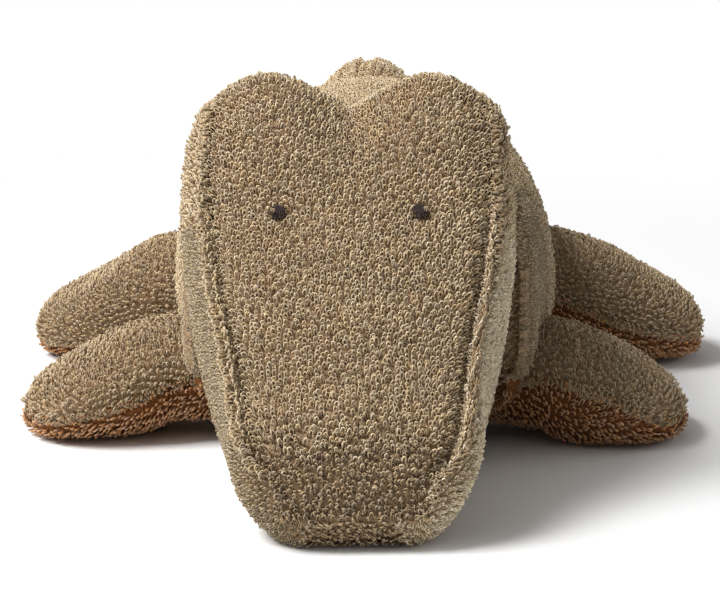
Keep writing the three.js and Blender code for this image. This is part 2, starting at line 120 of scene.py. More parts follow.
BODY_SHAPE = (BODY_AT, BODY, NECK_TO_RUMP, NOSE_TO_NECK, BODY_HALF, BODY_HEIGHT, BODY_MID, RUMP_LIFT)
TAIL_SHAPE = (TAIL_AT, TAIL, RUMP_TO_TIP, TAIL_AXIS, TAIL_HALF, TAIL_HEIGHT, TAIL_MID, TIP_LIFT)

# How the animal in hand lies a little unevenly. A dent is a place, its radius and its
# depth, and a negative depth swells. The legs' shares are of their length and height.
SNOUT_SIDES = [((33, 14, 16), 17, -1.1), ((37, 23, 31), 15, -2.6),
               ((-33, 14, 16), 17, -1.5), ((-36, 20, 24), 13, -1.8)]
BROW_SIDES = [((-54, 106, 101), 20, -0.9), ((-55, 96, 76), 20, -0.8), ((47, 112, 114), 13, -1.5)]
BODY_DENTS = [((-66, 158, 50), 34, 6.0), ((-24, 236, 107), 17, 4.0)]
TAIL_DENTS = [((-13, 281, 106), 12, 5.0)]
EYE_DENT_RADIUS, EYE_DENT_DEPTH = 5.0, 1.5
LEG_SWELLS = {("back", "right"): [((-77, 260, 44), 14, -2.2), ((-106, 252, 33), 17, 2.2)],
              ("front", "left"): [((75, 120, 8), 22, -3.0), ((63, 120, 9), 13, -2.5)]}
LEG_SHARES = {("back", "right"): (0.965, 0.94), ("back", "left"): (1.0, 1.03),
              ("front", "left"): (0.935, 1.0)}
LEG_SEAM_SHARES = {("back", "right"): [share * 0.55 for share in LEG["seam"]],
                   ("front", "left"): [.5, .5, .54, .58, .58, .56, .52, .47, .42, .4]}


def through(places, values, at):
    """Smooth values through a table without overshoot."""
    x, y = np.asarray(places, float), np.asarray(values, float)
    step, rise = np.diff(x), np.diff(y)
    slope = rise / step
    tangent = np.zeros_like(y)
    same = slope[1:] * slope[:-1] > 0
    w1, w2 = 2 * step[1:] + step[:-1], step[1:] + 2 * step[:-1]
    with np.errstate(divide="ignore", invalid="ignore"):
        mean = (w1 + w2) / (w1 / slope[:-1] + w2 / slope[1:])
    tangent[1:-1] = np.where(same, mean, 0)
    tangent[0], tangent[-1] = slope[0], slope[-1]
    at = np.clip(at, x[0], x[-1])
    k = np.clip(np.searchsorted(x, at, side="right") - 1, 0, len(step) - 1)
    t = (at - x[k]) / step[k]
    return (y[k] * (1 + 2 * t) * (1 - t) ** 2 + step[k] * tangent[k] * t * (1 - t) ** 2
            + y[k + 1] * t * t * (3 - 2 * t) + step[k] * tangent[k + 1] * t * t * (t - 1))


def signed_power(value, exponent):
    return np.sign(value) * np.abs(value) ** exponent


def even(count, start=0.0, end=1.0):
    return np.linspace(start, end, count)


def unit(vectors):
    return vectors / np.maximum(np.linalg.norm(vectors, axis=-1, keepdims=True), 1e-9)


def below(values, start, over):
    """A share that grows from 0 at start to 1 where values lie lower by over."""
    return np.clip((start - values) / over, 0, 1)


def section_of(shape, place):
    """Half width, middle, reach up, reach down and upper power of the body's or tail's section."""
    table_at, table, length, start, wide, height, mid, lift = shape
    value = {k: through(table_at, v, (place - start) / length) for k, v in table.items()}
    middle = value["mid"] * mid
    return (value["width"] * wide, middle, value["top"] * height - middle,
            middle - (value["lift"] * lift - REST_CUT), value["power"])


def leg_section(leg, at):
    """Half depth, middle and half height of a leg's section at each share of its length."""
    value = {k: through(LEG_AT, v, at) for k, v in LEG.items()}
    top, bottom = value["top"] * leg["height"], value["bottom"] * leg["height"] - REST_CUT
    return value["depth"] * leg["depth"] / 2, (top + bottom) / 2, (top - bottom) / 2


# A ring runs from the middle of the underside up the left side, over the top and down the
# right side. Its points are told by the share of each stretch between two corners.
CHIN_STEPS, UNDER_STEPS, SIDE_STEPS, FACE_STEPS = 26, 34, 34, 44
CHEEK_CORNER = CHIN_STEPS + UNDER_STEPS
FACE_SEAM = CHEEK_CORNER + SIDE_STEPS
CROWN = FACE_SEAM + FACE_STEPS


def head_stretches():
    """The stretch and the share in it of each point of half a ring, from chin to crown."""
    parts = [(0, CHIN_STEPS), (1, UNDER_STEPS), (2, SIDE_STEPS), (3, FACE_STEPS)]
    kind = np.concatenate([np.full(n, k) for k, n in parts] + [[3]])
    share = np.concatenate([np.arange(n) / n for _, n in parts] + [[1.0]])
    return kind, share


HEAD_KIND, HEAD_SHARE = head_stretches()


def face_height(at, across):
    top = through(HEAD_AT, HEAD["top"], at) * HEAD_HEIGHT
    bump = through(HEAD_AT, HEAD["bump"], at) * EYE_BUMP
    a = np.abs(across)
    inner = np.sin(np.pi / 2 * np.minimum(a / BUMP_PEAK, 1)) ** BUMP_POWER
    outer = np.cos(np.pi / 2 * (a - BUMP_PEAK) / BUMP_OUTER)
    crown = through(HEAD_AT, HEAD["crown"], at) * FACE_CROWN
    return top + bump * np.where(a < BUMP_PEAK, inner, outer) - crown * across ** 2


def head_half(place):
    """Across and height of half a ring of the head at each point's own place."""
    at = place / NOSE_TO_NECK
    seam = through(HEAD_AT, HEAD["seam"], at) * FACE_HALF
    cheek = through(HEAD_AT, HEAD["cheek"], at) * CHEEK_HALF
    cheek_at = through(HEAD_AT, HEAD["cheek_at"], at) * HEAD_HEIGHT
    chin = through(HEAD_AT, HEAD["chin"], at) * CHEEK_HALF
    floor = through(HEAD_AT, HEAD["lift"], at) * NOSE_LIFT - REST_CUT
    stretches = [HEAD_KIND == 0, HEAD_KIND == 1, HEAD_KIND == 2]
    angle = np.pi / 2 * (1 - HEAD_SHARE)
    across = np.select(
        stretches,
        [chin * HEAD_SHARE, chin + (cheek - chin) * np.cos(angle) ** (2 / CHEEK_POWER),
         seam + (cheek - seam) * np.sin(angle)],
        seam * (1 - HEAD_SHARE))
    rise = np.select(
        stretches,
        [floor, cheek_at - (cheek_at - floor) * np.sin(angle) ** (2 / CHEEK_POWER),
         cheek_at + (face_height(at, np.ones_like(at)) - cheek_at) * np.cos(angle)],
        face_height(at, 1 - HEAD_SHARE))
    return across, rise


def shape_half(points, shape):
    """Half a ring of the body or tail, whose section is a superellipse above and below its middle."""
    angle = even(points, -np.pi / 2, np.pi / 2)
    cos, sin = np.cos(angle), np.sin(angle)

    def half(place):
        wide, middle, up, down, upper_power = section_of(shape, place)
        power = np.where(sin > 0, upper_power, UNDER_POWER)
        across = wide * np.maximum(cos, 0) ** (2 / power)
        return across, middle + np.where(sin > 0, up, down) * signed_power(sin, 2 / power)

    return half


def mirrored(half, sign=1):
    """A whole ring from its left half. Sign is -1 for what changes its sign on the way down."""
    return np.concatenate([half, sign * half[:, -2:0:-1]], axis=1)


SETTLING_ROUNDS = 12


def settled(half, points, first, last, count):
    """Rings whose ends follow curved edges, so each point's place depends on its width."""
    steps = even(count)[:, None]
    place = np.broadcast_to(first(0.0) + steps * (last(0.0) - first(0.0)), (count, points)).copy()
    for _ in range(SETTLING_ROUNDS):
        across, _ = half(place)
        start, end = first(across), last(across)
        place = 0.5 * place + 0.5 * (start + steps * (end - start))
    across, rise = half(place)
    return np.stack([mirrored(across, -1), mirrored(place), mirrored(rise)], -1)


def straight_edge(place):
    def edge(across):
        return np.full_like(np.asarray(across, float), place)
    return edge


def round_edge(radius):
    """The edge where head and body meet, round about the axis on which the head turns."""
    def edge(across):
        return NOSE_TO_NECK - HEAD_TURN_RADIUS + np.sqrt(np.maximum(radius ** 2 - across ** 2, 0))
    return edge


def closing(ring, along, reach, keep, count=4):
    """Rings that close a form beyond its end ring, drawn towards its middle but for the share kept."""
    middle = (ring.max(0) + ring.min(0)) / 2
    rings = []
    for share in np.sin(even(count + 1)[1:] * np.pi / 2):
        drawn = ring.copy()
        for axis, held in enumerate(keep):
            drawn[:, axis] = middle[axis] + (ring[:, axis] - middle[axis]) * (
                held + (1 - held) * math.sqrt(max(1 - share ** 2, 0.004)))
        drawn[:, along] = ring[:, along] + reach * share
        rings.append(drawn)
    return rings


def ring_normals(points):
    """Outward normals of a grid of rings, which are closed across and open along."""
    across = np.roll(points, -1, 1) - np.roll(points, 1, 1)
    along = np.empty_like(points)
    along[1:-1] = points[2:] - points[:-2]
    along[0], along[-1] = points[1] - points[0], points[-1] - points[-2]
    normal = unit(np.cross(across, along))
    centre = points.mean(1, keepdims=True)
    return -normal if ((points - centre) * normal).sum(-1).mean() < 0 else normal


def softened(values, rounds):
    """Values of a grid, evened out with their neighbours."""
    for _ in range(rounds):
        inner = (np.roll(values, 1, 1) + np.roll(values, -1, 1)) / 2
        values = 0.5 * values + 0.5 * inner
        middle = values.copy()
        middle[1:-1] = 0.5 * values[1:-1] + 0.25 * (values[2:] + values[:-2])
        values = middle
    return values


LUMP_WAVES, LUMP_RATES, LUMP_GAIN = 18, (0.12, 0.34), 1.6
lump_waves = rng.normal(size=(LUMP_WAVES, 3))
lump_waves /= np.linalg.norm(lump_waves, axis=1, keepdims=True)
lump_waves *= rng.uniform(*LUMP_RATES, (LUMP_WAVES, 1))
lump_phases = rng.uniform(0, 2 * np.pi, LUMP_WAVES)


def lumps(points):
    """The unevenness of the filling, from -1 to 1."""
    return np.sin(points @ lump_waves.T + lump_phases).mean(-1) * LUMP_GAIN


def run_at(run, total, seam):
    """How far round each ring a seam lies. The seam is counted in points."""
    rows = np.arange(len(run))
    seam = np.broadcast_to(seam, len(run))
    low = np.floor(seam).astype(int) % run.shape[1]
    part = seam - np.floor(seam)
    following = np.where(low + 1 < run.shape[1], run[rows, (low + 1) % run.shape[1]], total[:, 0])
    return (run[rows, low] * (1 - part) + following * part)[:, None]


def between(grid, i, j):
    """Values between the points of a grid: i along, j across."""
    rows, columns = grid.shape[:2]
    i = np.clip(i, 0, rows - 1.000001)
    a, b = np.floor(i).astype(int), np.floor(j).astype(int)
    u, v = (i - a)[:, None], (j - b)[:, None]
    b0, b1 = b % columns, (b + 1) % columns
    return ((grid[a, b0] * (1 - v) + grid[a, b1] * v) * (1 - u)
            + (grid[a + 1, b0] * (1 - v) + grid[a + 1, b1] * v) * u)


class Form:
    """A stuffed form as a grid of rings, with the backing laid inside and its seams drawn in.

    The rim is a row with its depth and width. Near the edges of the face edge_share fades the
    groove and the ridge, and thinnest_share keeps a low ring from being laid inside out.
    """

    def __init__(self, name, rings, seams, seam_depth=SEAM_DEPTH, seam_width=SEAM_WIDTH,
                 seam_shares=(1, 1, 1), dents=(), rim=None, ridges=(), edge_share=1.0, thinnest_share=None):
        self.name = name
        points = np.asarray(rings, float)
        normal = unit(softened(ring_normals(points), 2))
        across = np.linalg.norm(np.roll(points, -1, 1) - points, axis=-1)
        run = np.cumsum(across, 1) - across
        total = across.sum(1, keepdims=True)

        def near(seam, wide):
            away = np.abs(run - run_at(run, total, seam))
            away = np.minimum(away, total - away)
            return np.exp(-(away / wide) ** 2)

        groove = np.zeros(points.shape[:2])
        for seam, share, wide in zip(seams, seam_shares, np.broadcast_to(seam_width, len(seams))):
            groove = np.maximum(groove, share * near(seam, wide))
        depth = INSET + seam_depth * edge_share * groove
        for seam in ridges:
            depth = depth - RIDGE_HEIGHT * edge_share * near(seam, RIDGE_WIDTH)
        for centre, radius, deep in dents:
            far = np.linalg.norm(points - centre, axis=-1)
            depth = depth + deep * np.exp(-(far / radius) ** 2)
        if rim is not None:
            row, deep, wide = rim
            gaps = np.linalg.norm(np.diff(points, axis=0), axis=-1)
            reach = np.concatenate([np.zeros((1, points.shape[1])), np.cumsum(gaps, 0)])
            depth = depth + deep * np.exp(-((reach - reach[row]) / wide) ** 2)
        depth = depth + LUMP_DEPTH * lumps(points)
        if thinnest_share is not None:
            tall = points[..., 2].max(1, keepdims=True) - points[..., 2].min(1, keepdims=True)
            depth = np.minimum(depth, thinnest_share * tall)
        self.points = points - normal * depth[..., None]
        self.points[..., 2] = np.maximum(self.points[..., 2], BACKING_CLEAR)
        self.normal = unit(softened(ring_normals(self.points), 1))


# The head
HEAD_ROWS, BODY_ROWS, BODY_HALF_RING, TAIL_HALF_RING = 130, 120, 131, 101
head_points = settled(head_half, len(HEAD_KIND), straight_edge(0.0), round_edge(HEAD_TURN_RADIUS), HEAD_ROWS)
nose_rings = closing(head_points[0], along=1, reach=-0.3, keep=(0.93, 1, 0), count=5)[::-1]
neck_rings = closing(head_points[-1], along=1, reach=-6.0, keep=(0.1, 1, 0.1))
head_rings = np.concatenate([nose_rings, head_points, neck_rings])
HEAD_RING = head_rings.shape[1]
head_turn = np.array(Matrix.Rotation(math.radians(HEAD_TURN), 3, "Z"))
turn_place = np.array([0, NOSE_TO_NECK - HEAD_TURN_RADIUS, 0])


def on_head(points):
    """Places on the head as it lies, turned a little to one side."""
    return (points - turn_place) @ head_turn.T + turn_place


def into_frame(points):
    return points + np.array([0, BACK_OF_FRAME, 0])


EYE_ACROSS, EYE_PLACE = 23.0, 74.5
eye_at = np.array([EYE_PLACE / NOSE_TO_NECK])
eye_share = EYE_ACROSS / FACE_HALF / through(HEAD_AT, HEAD["seam"], eye_at)


def eye_point(sign):
    return np.array([sign * EYE_ACROSS, EYE_PLACE, face_height(eye_at, eye_share)[0]])


def beside(rings, index, distance):
    """Where each ring has gone a distance on from one of its points, counted in points."""
    step = np.linalg.norm(np.diff(rings, axis=1), axis=-1)
    run = np.concatenate([np.zeros((len(rings), 1)), np.cumsum(step, 1)], 1)
    places = np.arange(rings.shape[1])
    return np.array([np.interp(line[index] + distance, line, places) for line in run])


def face_edge_share(place):
    """The groove beside the face fades towards the crown and towards the tip of the nose."""
    return below(place, start=100, over=30) * below(-place, start=1, over=12)


groove_left = beside(head_rings, FACE_SEAM, GROOVE_INSIDE)
NECK_RIM_DEPTH, NECK_RIM_WIDTH = 1.2, 5.0
head_form = Form(
    "head", head_rings, [groove_left, HEAD_RING - groove_left], seam_depth=GROOVE_DEPTH,
    seam_width=(GROOVE_WIDTH_LEFT, GROOVE_WIDTH), seam_shares=GROOVE_SHARES,
    dents=[(eye_point(sign), EYE_DENT_RADIUS, EYE_DENT_DEPTH) for sign in (1, -1)] + SNOUT_SIDES + BROW_SIDES,
    rim=(len(head_rings) - len(neck_rings) - 1, NECK_RIM_DEPTH, NECK_RIM_WIDTH),
    ridges=[FACE_SEAM, HEAD_RING - FACE_SEAM], edge_share=face_edge_share(head_rings[:, :1, 1]),
    thinnest_share=THINNEST_SHARE)


def crossing(rings, height):
    """Where the left half of each ring passes a height, counted in points."""
    half = rings.shape[1] // 2
    heights = np.broadcast_to(height, len(rings))
    steps = np.arange(half + 1)
    rising = np.maximum.accumulate(rings[:, :half + 1, 2], axis=1) + steps * 1e-7
    return np.array([np.interp(level, line, steps) for level, line in zip(heights, rising)])


# The body
body_points = settled(
    shape_half(BODY_HALF_RING, BODY_SHAPE), BODY_HALF_RING, round_edge(HEAD_TURN_RADIUS + NECK_SPACE),
    straight_edge(NOSE_TO_NECK + NECK_TO_RUMP), BODY_ROWS)
shoulder_rings = closing(body_points[0], along=1, reach=5.0, keep=(0.1, 1, 0.1))[::-1]
rump_rings = closing(body_points[-1], along=1, reach=3.0, keep=(0, 1, 0))
body_rings = np.concatenate([shoulder_rings, body_points, rump_rings])
BODY_RING = body_points.shape[1]
SHOULDER_RIM_DEPTH, SHOULDER_RIM_WIDTH = 4.4, 7.0
belly_cross = crossing(body_rings, BELLY_SEAM)
body_form = Form("body", body_rings, [belly_cross, BODY_RING - belly_cross], dents=BODY_DENTS,
                 rim=(len(shoulder_rings), SHOULDER_RIM_DEPTH, SHOULDER_RIM_WIDTH))

# The tail
tail_points = settled(
    shape_half(TAIL_HALF_RING, TAIL_SHAPE), TAIL_HALF_RING, straight_edge(TAIL_AXIS - TAIL_IN_BODY),
    straight_edge(TAIL_AXIS + RUMP_TO_TIP), BODY_ROWS)
root_rings = closing(tail_points[0], along=1, reach=-3.0, keep=(0, 1, 0))[::-1]
tip_rings = closing(tail_points[-1], along=1, reach=2.5, keep=(0, 1, 0))
tail_rings = np.concatenate([root_rings, tail_points, tip_rings])
TAIL_RING = tail_points.shape[1]
tail_mid = through(TAIL_AT, TAIL["mid"], (tail_rings[:, 0, 1] - TAIL_AXIS) / RUMP_TO_TIP) * TAIL_MID
tail_cross = crossing(tail_rings, tail_mid * TAIL_SEAM_SHARE)
tail_form = Form("tail", tail_rings, [tail_cross, TAIL_RING - tail_cross, TAIL_RING // 2], dents=TAIL_DENTS)

# The legs
LEG_ROWS, LEG_RING = 60, 120
LEG_START_SHARE, TIP_REACH = -0.42, 2.2


def leg_rings(leg, sign):
    """Rings of a leg in its own frame: X outward, Y back, Z up."""
    angle = even(LEG_RING // 2 + 1, -np.pi / 2, np.pi / 2)
    cos, sin = np.maximum(np.cos(angle), 0), np.sin(angle)
    half_rows = LEG_ROWS // 2
    at = np.concatenate([even(half_rows, LEG_START_SHARE, 0.5)[:-1],
                         0.5 + 0.5 * np.sin(even(half_rows + 1) * np.pi / 2)])
    half_deep, middle, half_tall = leg_section(leg, at[:, None])
    deep = half_deep * cos ** (2 / LEG_POWER)
    rise = middle + half_tall * signed_power(sin, 2 / LEG_POWER)
    out = np.broadcast_to(at[:, None] * leg["length"] * sign, deep.shape)
    return np.stack([mirrored(out), mirrored(-deep, -1), mirrored(rise)], -1)


def leg_form(end, side, leg, sign):
    rings = leg_rings(leg, sign)
    rings = np.concatenate([rings, closing(rings[-1], along=0, reach=TIP_REACH * sign, keep=(1, 0, 0))])
    reach = np.clip(rings[:, :, 0].mean(1) * sign / leg["length"], LEG_AT[0], 1)
    long, tall = LEG_SHARES.get((end, side), (1.0, 1.0))
    rings = rings * (1, 1, tall)
    rings[..., 0] *= np.where(rings[..., 0] * sign > 0, long, 1)
    low, high = rings[:, :, 2].min(1), rings[:, :, 2].max(1)
    seam_shares = LEG_SEAM_SHARES.get((end, side), LEG["seam"])
    seam = crossing(rings, low + (high - low) * through(LEG_AT, seam_shares, reach))
    turn = np.array(Matrix.Rotation(math.radians(sign * leg["splay"]), 3, "Z"))
    hinge = np.array([sign * leg["outward"], leg["place"], 0])
    form = Form(f"{end}_{side}_leg", rings @ turn.T + hinge, [seam, LEG_RING - seam],
                seam_depth=LEG_SEAM_DEPTH, dents=LEG_SWELLS.get((end, side), ()))
    form.turn, form.hinge, form.leg, form.sign, form.seam = turn, hinge, leg, sign, seam
    return form


leg_forms = [leg_form(end, side, leg, sign) for end, leg in (("front", FRONT_LEG), ("back", BACK_LEG))
             for side, sign in (("left", 1), ("right", -1))]


# What lies inside another form gets no pile. A margin keeps the loops near its surface.
HIDDEN_MARGIN, BODY_NECK_MARGIN, LEG_NECK_MARGIN = 1.5, 3.5, 5.5
THINNEST, LEG_INSIDE_SHARE, TAIL_INSIDE = 0.1, -0.4, 40


def in_section(points, shape, margin):
    """Points that lie inside the body or tail form, less a margin."""
    table_at, _, length, start = shape[:4]
    wide, middle, up, down, upper_power = section_of(shape, points[:, 1])
    above = points[:, 2] > middle
    power = np.where(above, upper_power, UNDER_POWER)
    wide = np.maximum(wide - margin, THINNEST)
    rise = np.maximum(np.where(above, up, down) - margin, THINNEST)
    inside = (np.abs(points[:, 0]) / wide) ** power + (np.abs(points[:, 2] - middle) / rise) ** power < 1
    at = (points[:, 1] - start) / length
    return inside & (at > table_at[0]) & (at < table_at[-1])


def in_leg(points, form, margin):
    own = (points - form.hinge) @ form.turn
    at = own[:, 0] * form.sign / form.leg["length"]
    deep, middle, tall = leg_section(form.leg, at)
    deep, tall = np.maximum(deep - margin, THINNEST), np.maximum(tall - margin, THINNEST)
    inside = (np.abs(own[:, 1]) / deep) ** LEG_POWER + (np.abs(own[:, 2] - middle) / tall) ** LEG_POWER < 1
    return inside & (at > LEG_INSIDE_SHARE) & (at < 1)


def body_hidden(points):
    """Hidden in the tail or a leg. The margin is wider at the neck, where the body is drawn in."""
    hidden = in_section(points, TAIL_SHAPE, HIDDEN_MARGIN) & (points[:, 1] > TAIL_AXIS - TAIL_INSIDE)
    margin = HIDDEN_MARGIN + BODY_NECK_MARGIN * below(points[:, 1], start=135, over=12)
    for form in leg_forms:
        hidden |= in_leg(points, form, margin)
    return hidden


def tail_hidden(points):
    return in_section(points, BODY_SHAPE, HIDDEN_MARGIN)


def leg_hidden(points):
    """Hidden in the body. The margin is wider at the neck, where the body is drawn in."""
    margin = HIDDEN_MARGIN + LEG_NECK_MARGIN * below(points[:, 1], start=178, over=20)
    return in_section(points, BODY_SHAPE, margin)


def columns_of_loops(form, low, middle, high, across, along):
    """Places of loops on a panel: rows along the form, columns side by side from its middle.

    Each is told by its place along and across, and by how far it lies from either edge.
    """
    margin, narrowest, shift_count = 0.2, 0.5, 400
    index = np.arange(len(form.points))
    low, middle, high = (np.broadcast_to(np.asarray(v, float), len(index)) for v in (low, middle, high))
    line = between(form.points, index.astype(float), middle)
    run = np.concatenate([[0], np.cumsum(np.linalg.norm(np.diff(line, axis=0), axis=1))])
    shifts = rng.uniform(-0.5, 0.5, shift_count) * along
    found = []
    for stop in np.arange(0, run[-1], along):
        row = np.interp(stop, run, index)
        first, centre, last = (np.interp(row, index, v) for v in (low, middle, high))
        if last - first < narrowest:
            continue
        j = even(max(int((last - first) * 2), 8), first, last)
        ring = between(form.points, np.full(len(j), row), j)
        reach = np.concatenate([[0], np.cumsum(np.linalg.norm(np.diff(ring, axis=0), axis=1))])
        middle_reach = np.interp(centre, j, reach)
        columns = np.arange(math.ceil((margin - across - middle_reach) / across),
                            math.floor((reach[-1] - margin + across - middle_reach) / across) + 1)
        steps = np.clip(columns * across + middle_reach, margin, max(reach[-1] - margin, margin))
        places = np.interp(stop + shifts[columns % len(shifts)], run, index)
        found.append(np.stack([places, np.interp(steps, reach, j), steps, reach[-1] - steps], 1))
    return np.concatenate(found)


def tube_faces(steps, sides):
    """Faces of a tube whose points run round each step in turn, and of its two closed ends."""
    quads = [[a + side, a + sides + side, a + sides + (side + 1) % sides, a + (side + 1) % sides]
             for a in range(0, (steps - 1) * sides, sides) for side in range(sides)]
    last = (steps - 1) * sides
    ends = []
    for side in range(1, sides - 1):
        ends += [[0, side, side + 1], [last + side + 1, last + side, last]]
    return np.array(quads), np.array(ends)


def repeated(faces, count, points):
    """The faces of many like pieces that have the same number of points."""
    offset = (np.arange(count) * points)[:, None, None]
    return (faces[None] + offset).reshape(-1, faces.shape[1])


# One loop of yarn: a teardrop ring that rises from the backing and curls over. It is told
# by its width, its reach, the angles at which it starts and ends, and the yarn's radius.
LOOP_ACROSS = np.array([-0.55, -0.92, -0.98, -0.62, 0, 0.62, 0.98, 0.92, 0.55])
LOOP_ALONG = np.array([0.04, 0.42, 0.74, 0.94, 1, 0.94, 0.74, 0.42, 0.04])
LOOP_STEPS, LOOP_SIDES = len(LOOP_ACROSS), 3
LOOP_POINTS = LOOP_STEPS * LOOP_SIDES
LOOP_QUADS, LOOP_ENDS = tube_faces(LOOP_STEPS, LOOP_SIDES)
LOOP_WIDTHS, YARN_RADII, LEANS, OPENINGS = (1.0, 1.25), (0.29, 0.35), (-0.5, 0.5), (0.06, 0.1)
LYING, LYING_STARTS, LYING_ENDS, LYING_REACHES = 24, (70, 88), (12, 44), (2.4, 3.0)
STANDING, STANDING_STARTS, STANDING_ENDS, STANDING_REACHES = 12, (84, 96), (62, 82), (1.9, 2.5)


def loop_shape(wide, reach, steep, flat, yarn, lean, open_to):
    along = LOOP_ALONG * np.where(LOOP_ALONG < 0.1, open_to * 10, 1)
    across = wide / 2 * LOOP_ACROSS + lean * along
    bend = (steep - flat) / reach
    angle = steep - bend * reach * along
    forward = (math.sin(steep) - np.sin(angle)) / bend
    rise = (np.cos(angle) - math.cos(steep)) / bend
    line = np.stack([across, forward, rise], 1)
    tangent = unit(np.gradient(line, axis=0))
    outer = np.stack([np.zeros(LOOP_STEPS), -np.sin(angle), np.cos(angle)], 1)
    side = unit(np.cross(tangent, outer))
    outer = np.cross(side, tangent)
    turn = np.arange(LOOP_SIDES) * 2 * np.pi / LOOP_SIDES
    thick = yarn * (0.8 + 0.2 * along)
    ring = (outer[:, None] * np.cos(turn)[None, :, None] + side[:, None] * np.sin(turn)[None, :, None])
    shape = line[:, None] + ring * thick[:, None, None]
    return shape.reshape(-1, 3), np.repeat(along, LOOP_SIDES)


def loop_shapes(count, starts, ends, reaches):
    return [loop_shape(
        wide=rng.uniform(*LOOP_WIDTHS), reach=rng.uniform(*reaches),
        steep=math.radians(rng.uniform(*starts)), flat=math.radians(rng.uniform(*ends)),
        yarn=rng.uniform(*YARN_RADII), lean=rng.uniform(*LEANS), open_to=rng.uniform(*OPENINGS))
        for _ in range(count)]


all_shapes = loop_shapes(LYING, LYING_STARTS, LYING_ENDS, LYING_REACHES)
all_shapes += loop_shapes(STANDING, STANDING_STARTS, STANDING_ENDS, STANDING_REACHES)
LOOPS = np.array([shape for shape, tip in all_shapes])
LOOP_TIPS = np.array([tip for shape, tip in all_shapes])
FLOOR_SPACE = 1.3


def above_floor(height):
    """Pressed flat near the floor, and never under it."""
    pressed = FLOOR_SPACE * np.exp(np.clip((height - FLOOR_SPACE) / FLOOR_SPACE, -6, 0))
    return np.where(height < FLOOR_SPACE, pressed, height)


def mesh_of(name, points, quads, triangles=None, uv=None):
    """A smooth mesh in metres from arrays of points and faces."""
    mesh = bpy.data.meshes.new(name)
    mesh.vertices.add(len(points))
    mesh.vertices.foreach_set("co", (np.asarray(points) * METRES).astype(np.float32).ravel())
    triangles = np.zeros((0, 3), int) if triangles is None else triangles
    corners = np.concatenate([quads.ravel(), triangles.ravel()])
    totals = np.concatenate([np.full(len(quads), 4), np.full(len(triangles), 3)])
    starts = np.concatenate([[0], np.cumsum(totals)[:-1]])
    mesh.loops.add(len(corners))
    mesh.loops.foreach_set("vertex_index", corners.astype(np.int32))
    mesh.polygons.add(len(totals))
    mesh.polygons.foreach_set("loop_start", starts.astype(np.int32))
    mesh.polygons.foreach_set("loop_total", totals.astype(np.int32))
    mesh.polygons.foreach_set("use_smooth", np.full(len(totals), True))
    if uv is not None:
        layer = mesh.uv_layers.new(name="OFBake")
        layer.data.foreach_set("uv", uv.astype(np.float32).ravel())
    mesh.update(calc_edges=True)
    mesh.validate()
    piece = bpy.data.objects.new(name, mesh)
    bpy.context.scene.collection.objects.link(piece)
    return piece


def loop_uv(count):
    """Each loop has a cell of its own on the piece's map."""
    side = math.ceil(math.sqrt(count))
    cell = 1 / side
    corner = np.stack([np.arange(count) % side, np.arange(count) // side], 1) * cell
    inner, ends = [], []
    for step in range(LOOP_STEPS - 1):
        for k in range(LOOP_SIDES):
            x0, x1 = step / LOOP_STEPS, (step + 1) / LOOP_STEPS
            y0, y1 = k / LOOP_SIDES, (k + 1) / LOOP_SIDES
            inner += [[x0, y0], [x1, y0], [x1, y1], [x0, y1]]
    for y in (0, 0.5):
        x = (LOOP_STEPS - 1) / LOOP_STEPS
        ends += [[x, y], [x + 1 / LOOP_STEPS, y], [x, y + 0.5]]
    margin = 0.08

    def in_cells(places):
        return (corner[:, None] + (np.array(places) * (1 - 2 * margin) + margin) * cell).reshape(-1, 2)

    return np.concatenate([in_cells(inner), in_cells(ends)])


LOOP_SIZES = (0.85, 1.15)


def yarn_loops(name, base, normal, lie, tone, upright=0.0, scale=1.0, stray=20):
    """A piece made of loops that stand on the backing at their bases and lie one way."""
    count = len(base)
    lie = unit(lie - normal * (lie * normal).sum(1, keepdims=True))
    side = np.cross(lie, normal)
    turn = np.radians(rng.normal(0, stray, count))[:, None]
    lie, side = lie * np.cos(turn) + side * np.sin(turn), side * np.cos(turn) - lie * np.sin(turn)
    pick = np.where(rng.uniform(0, 1, count) < upright, LYING + rng.integers(0, STANDING, count),
                    rng.integers(0, LYING, count))
    shape = LOOPS[pick] * (scale * rng.uniform(*LOOP_SIZES, (count, 1, 3)))
    points = (base[:, None] + shape[..., :1] * side[:, None] + shape[..., 1:2] * lie[:, None]
              + shape[..., 2:] * normal[:, None])
    points[..., 2] = above_floor(points[..., 2])
    piece = mesh_of(name, points.reshape(-1, 3), repeated(LOOP_QUADS, count, LOOP_POINTS),
                    repeated(LOOP_ENDS, count, LOOP_POINTS), loop_uv(count))
    own = rng.uniform(0, 1, count)
    values = np.ones((count, LOOP_POINTS, 4), np.float32)
    # Green holds how far along its loop each point lies, which the materials use for painted shade at the
    # roots.
    values[..., 0], values[..., 1], values[..., 2] = tone[:, None], LOOP_TIPS[pick], own[:, None]
    piece.data.attributes.new("yarn", "FLOAT_COLOR", "POINT").data.foreach_set("color", values.ravel())
    return piece


# Materials
def srgb(red, green, blue):
    def linear(value):
        value /= 255
        return value / 12.92 if value <= 0.04045 else ((value + 0.055) / 1.055) ** 2.4
    return (linear(red), linear(green), linear(blue), 1.0)


def fill(made, sockets):
    """Values for a node's sockets, which are told by name or number."""
    for name, value in sockets.items():
        made.inputs[name].default_value = value


def node(tree, kind, sockets=None, **settings):
    made = tree.nodes.new(kind)
    for name, value in settings.items():
        setattr(made, name, value)
    fill(made, sockets or {})
    return made


def link(tree, *rows):
    """Each row is a node and its output, then another node and its input."""
    for start, output, end, entry in rows:
        tree.links.new(start.outputs[output], end.inputs[entry])


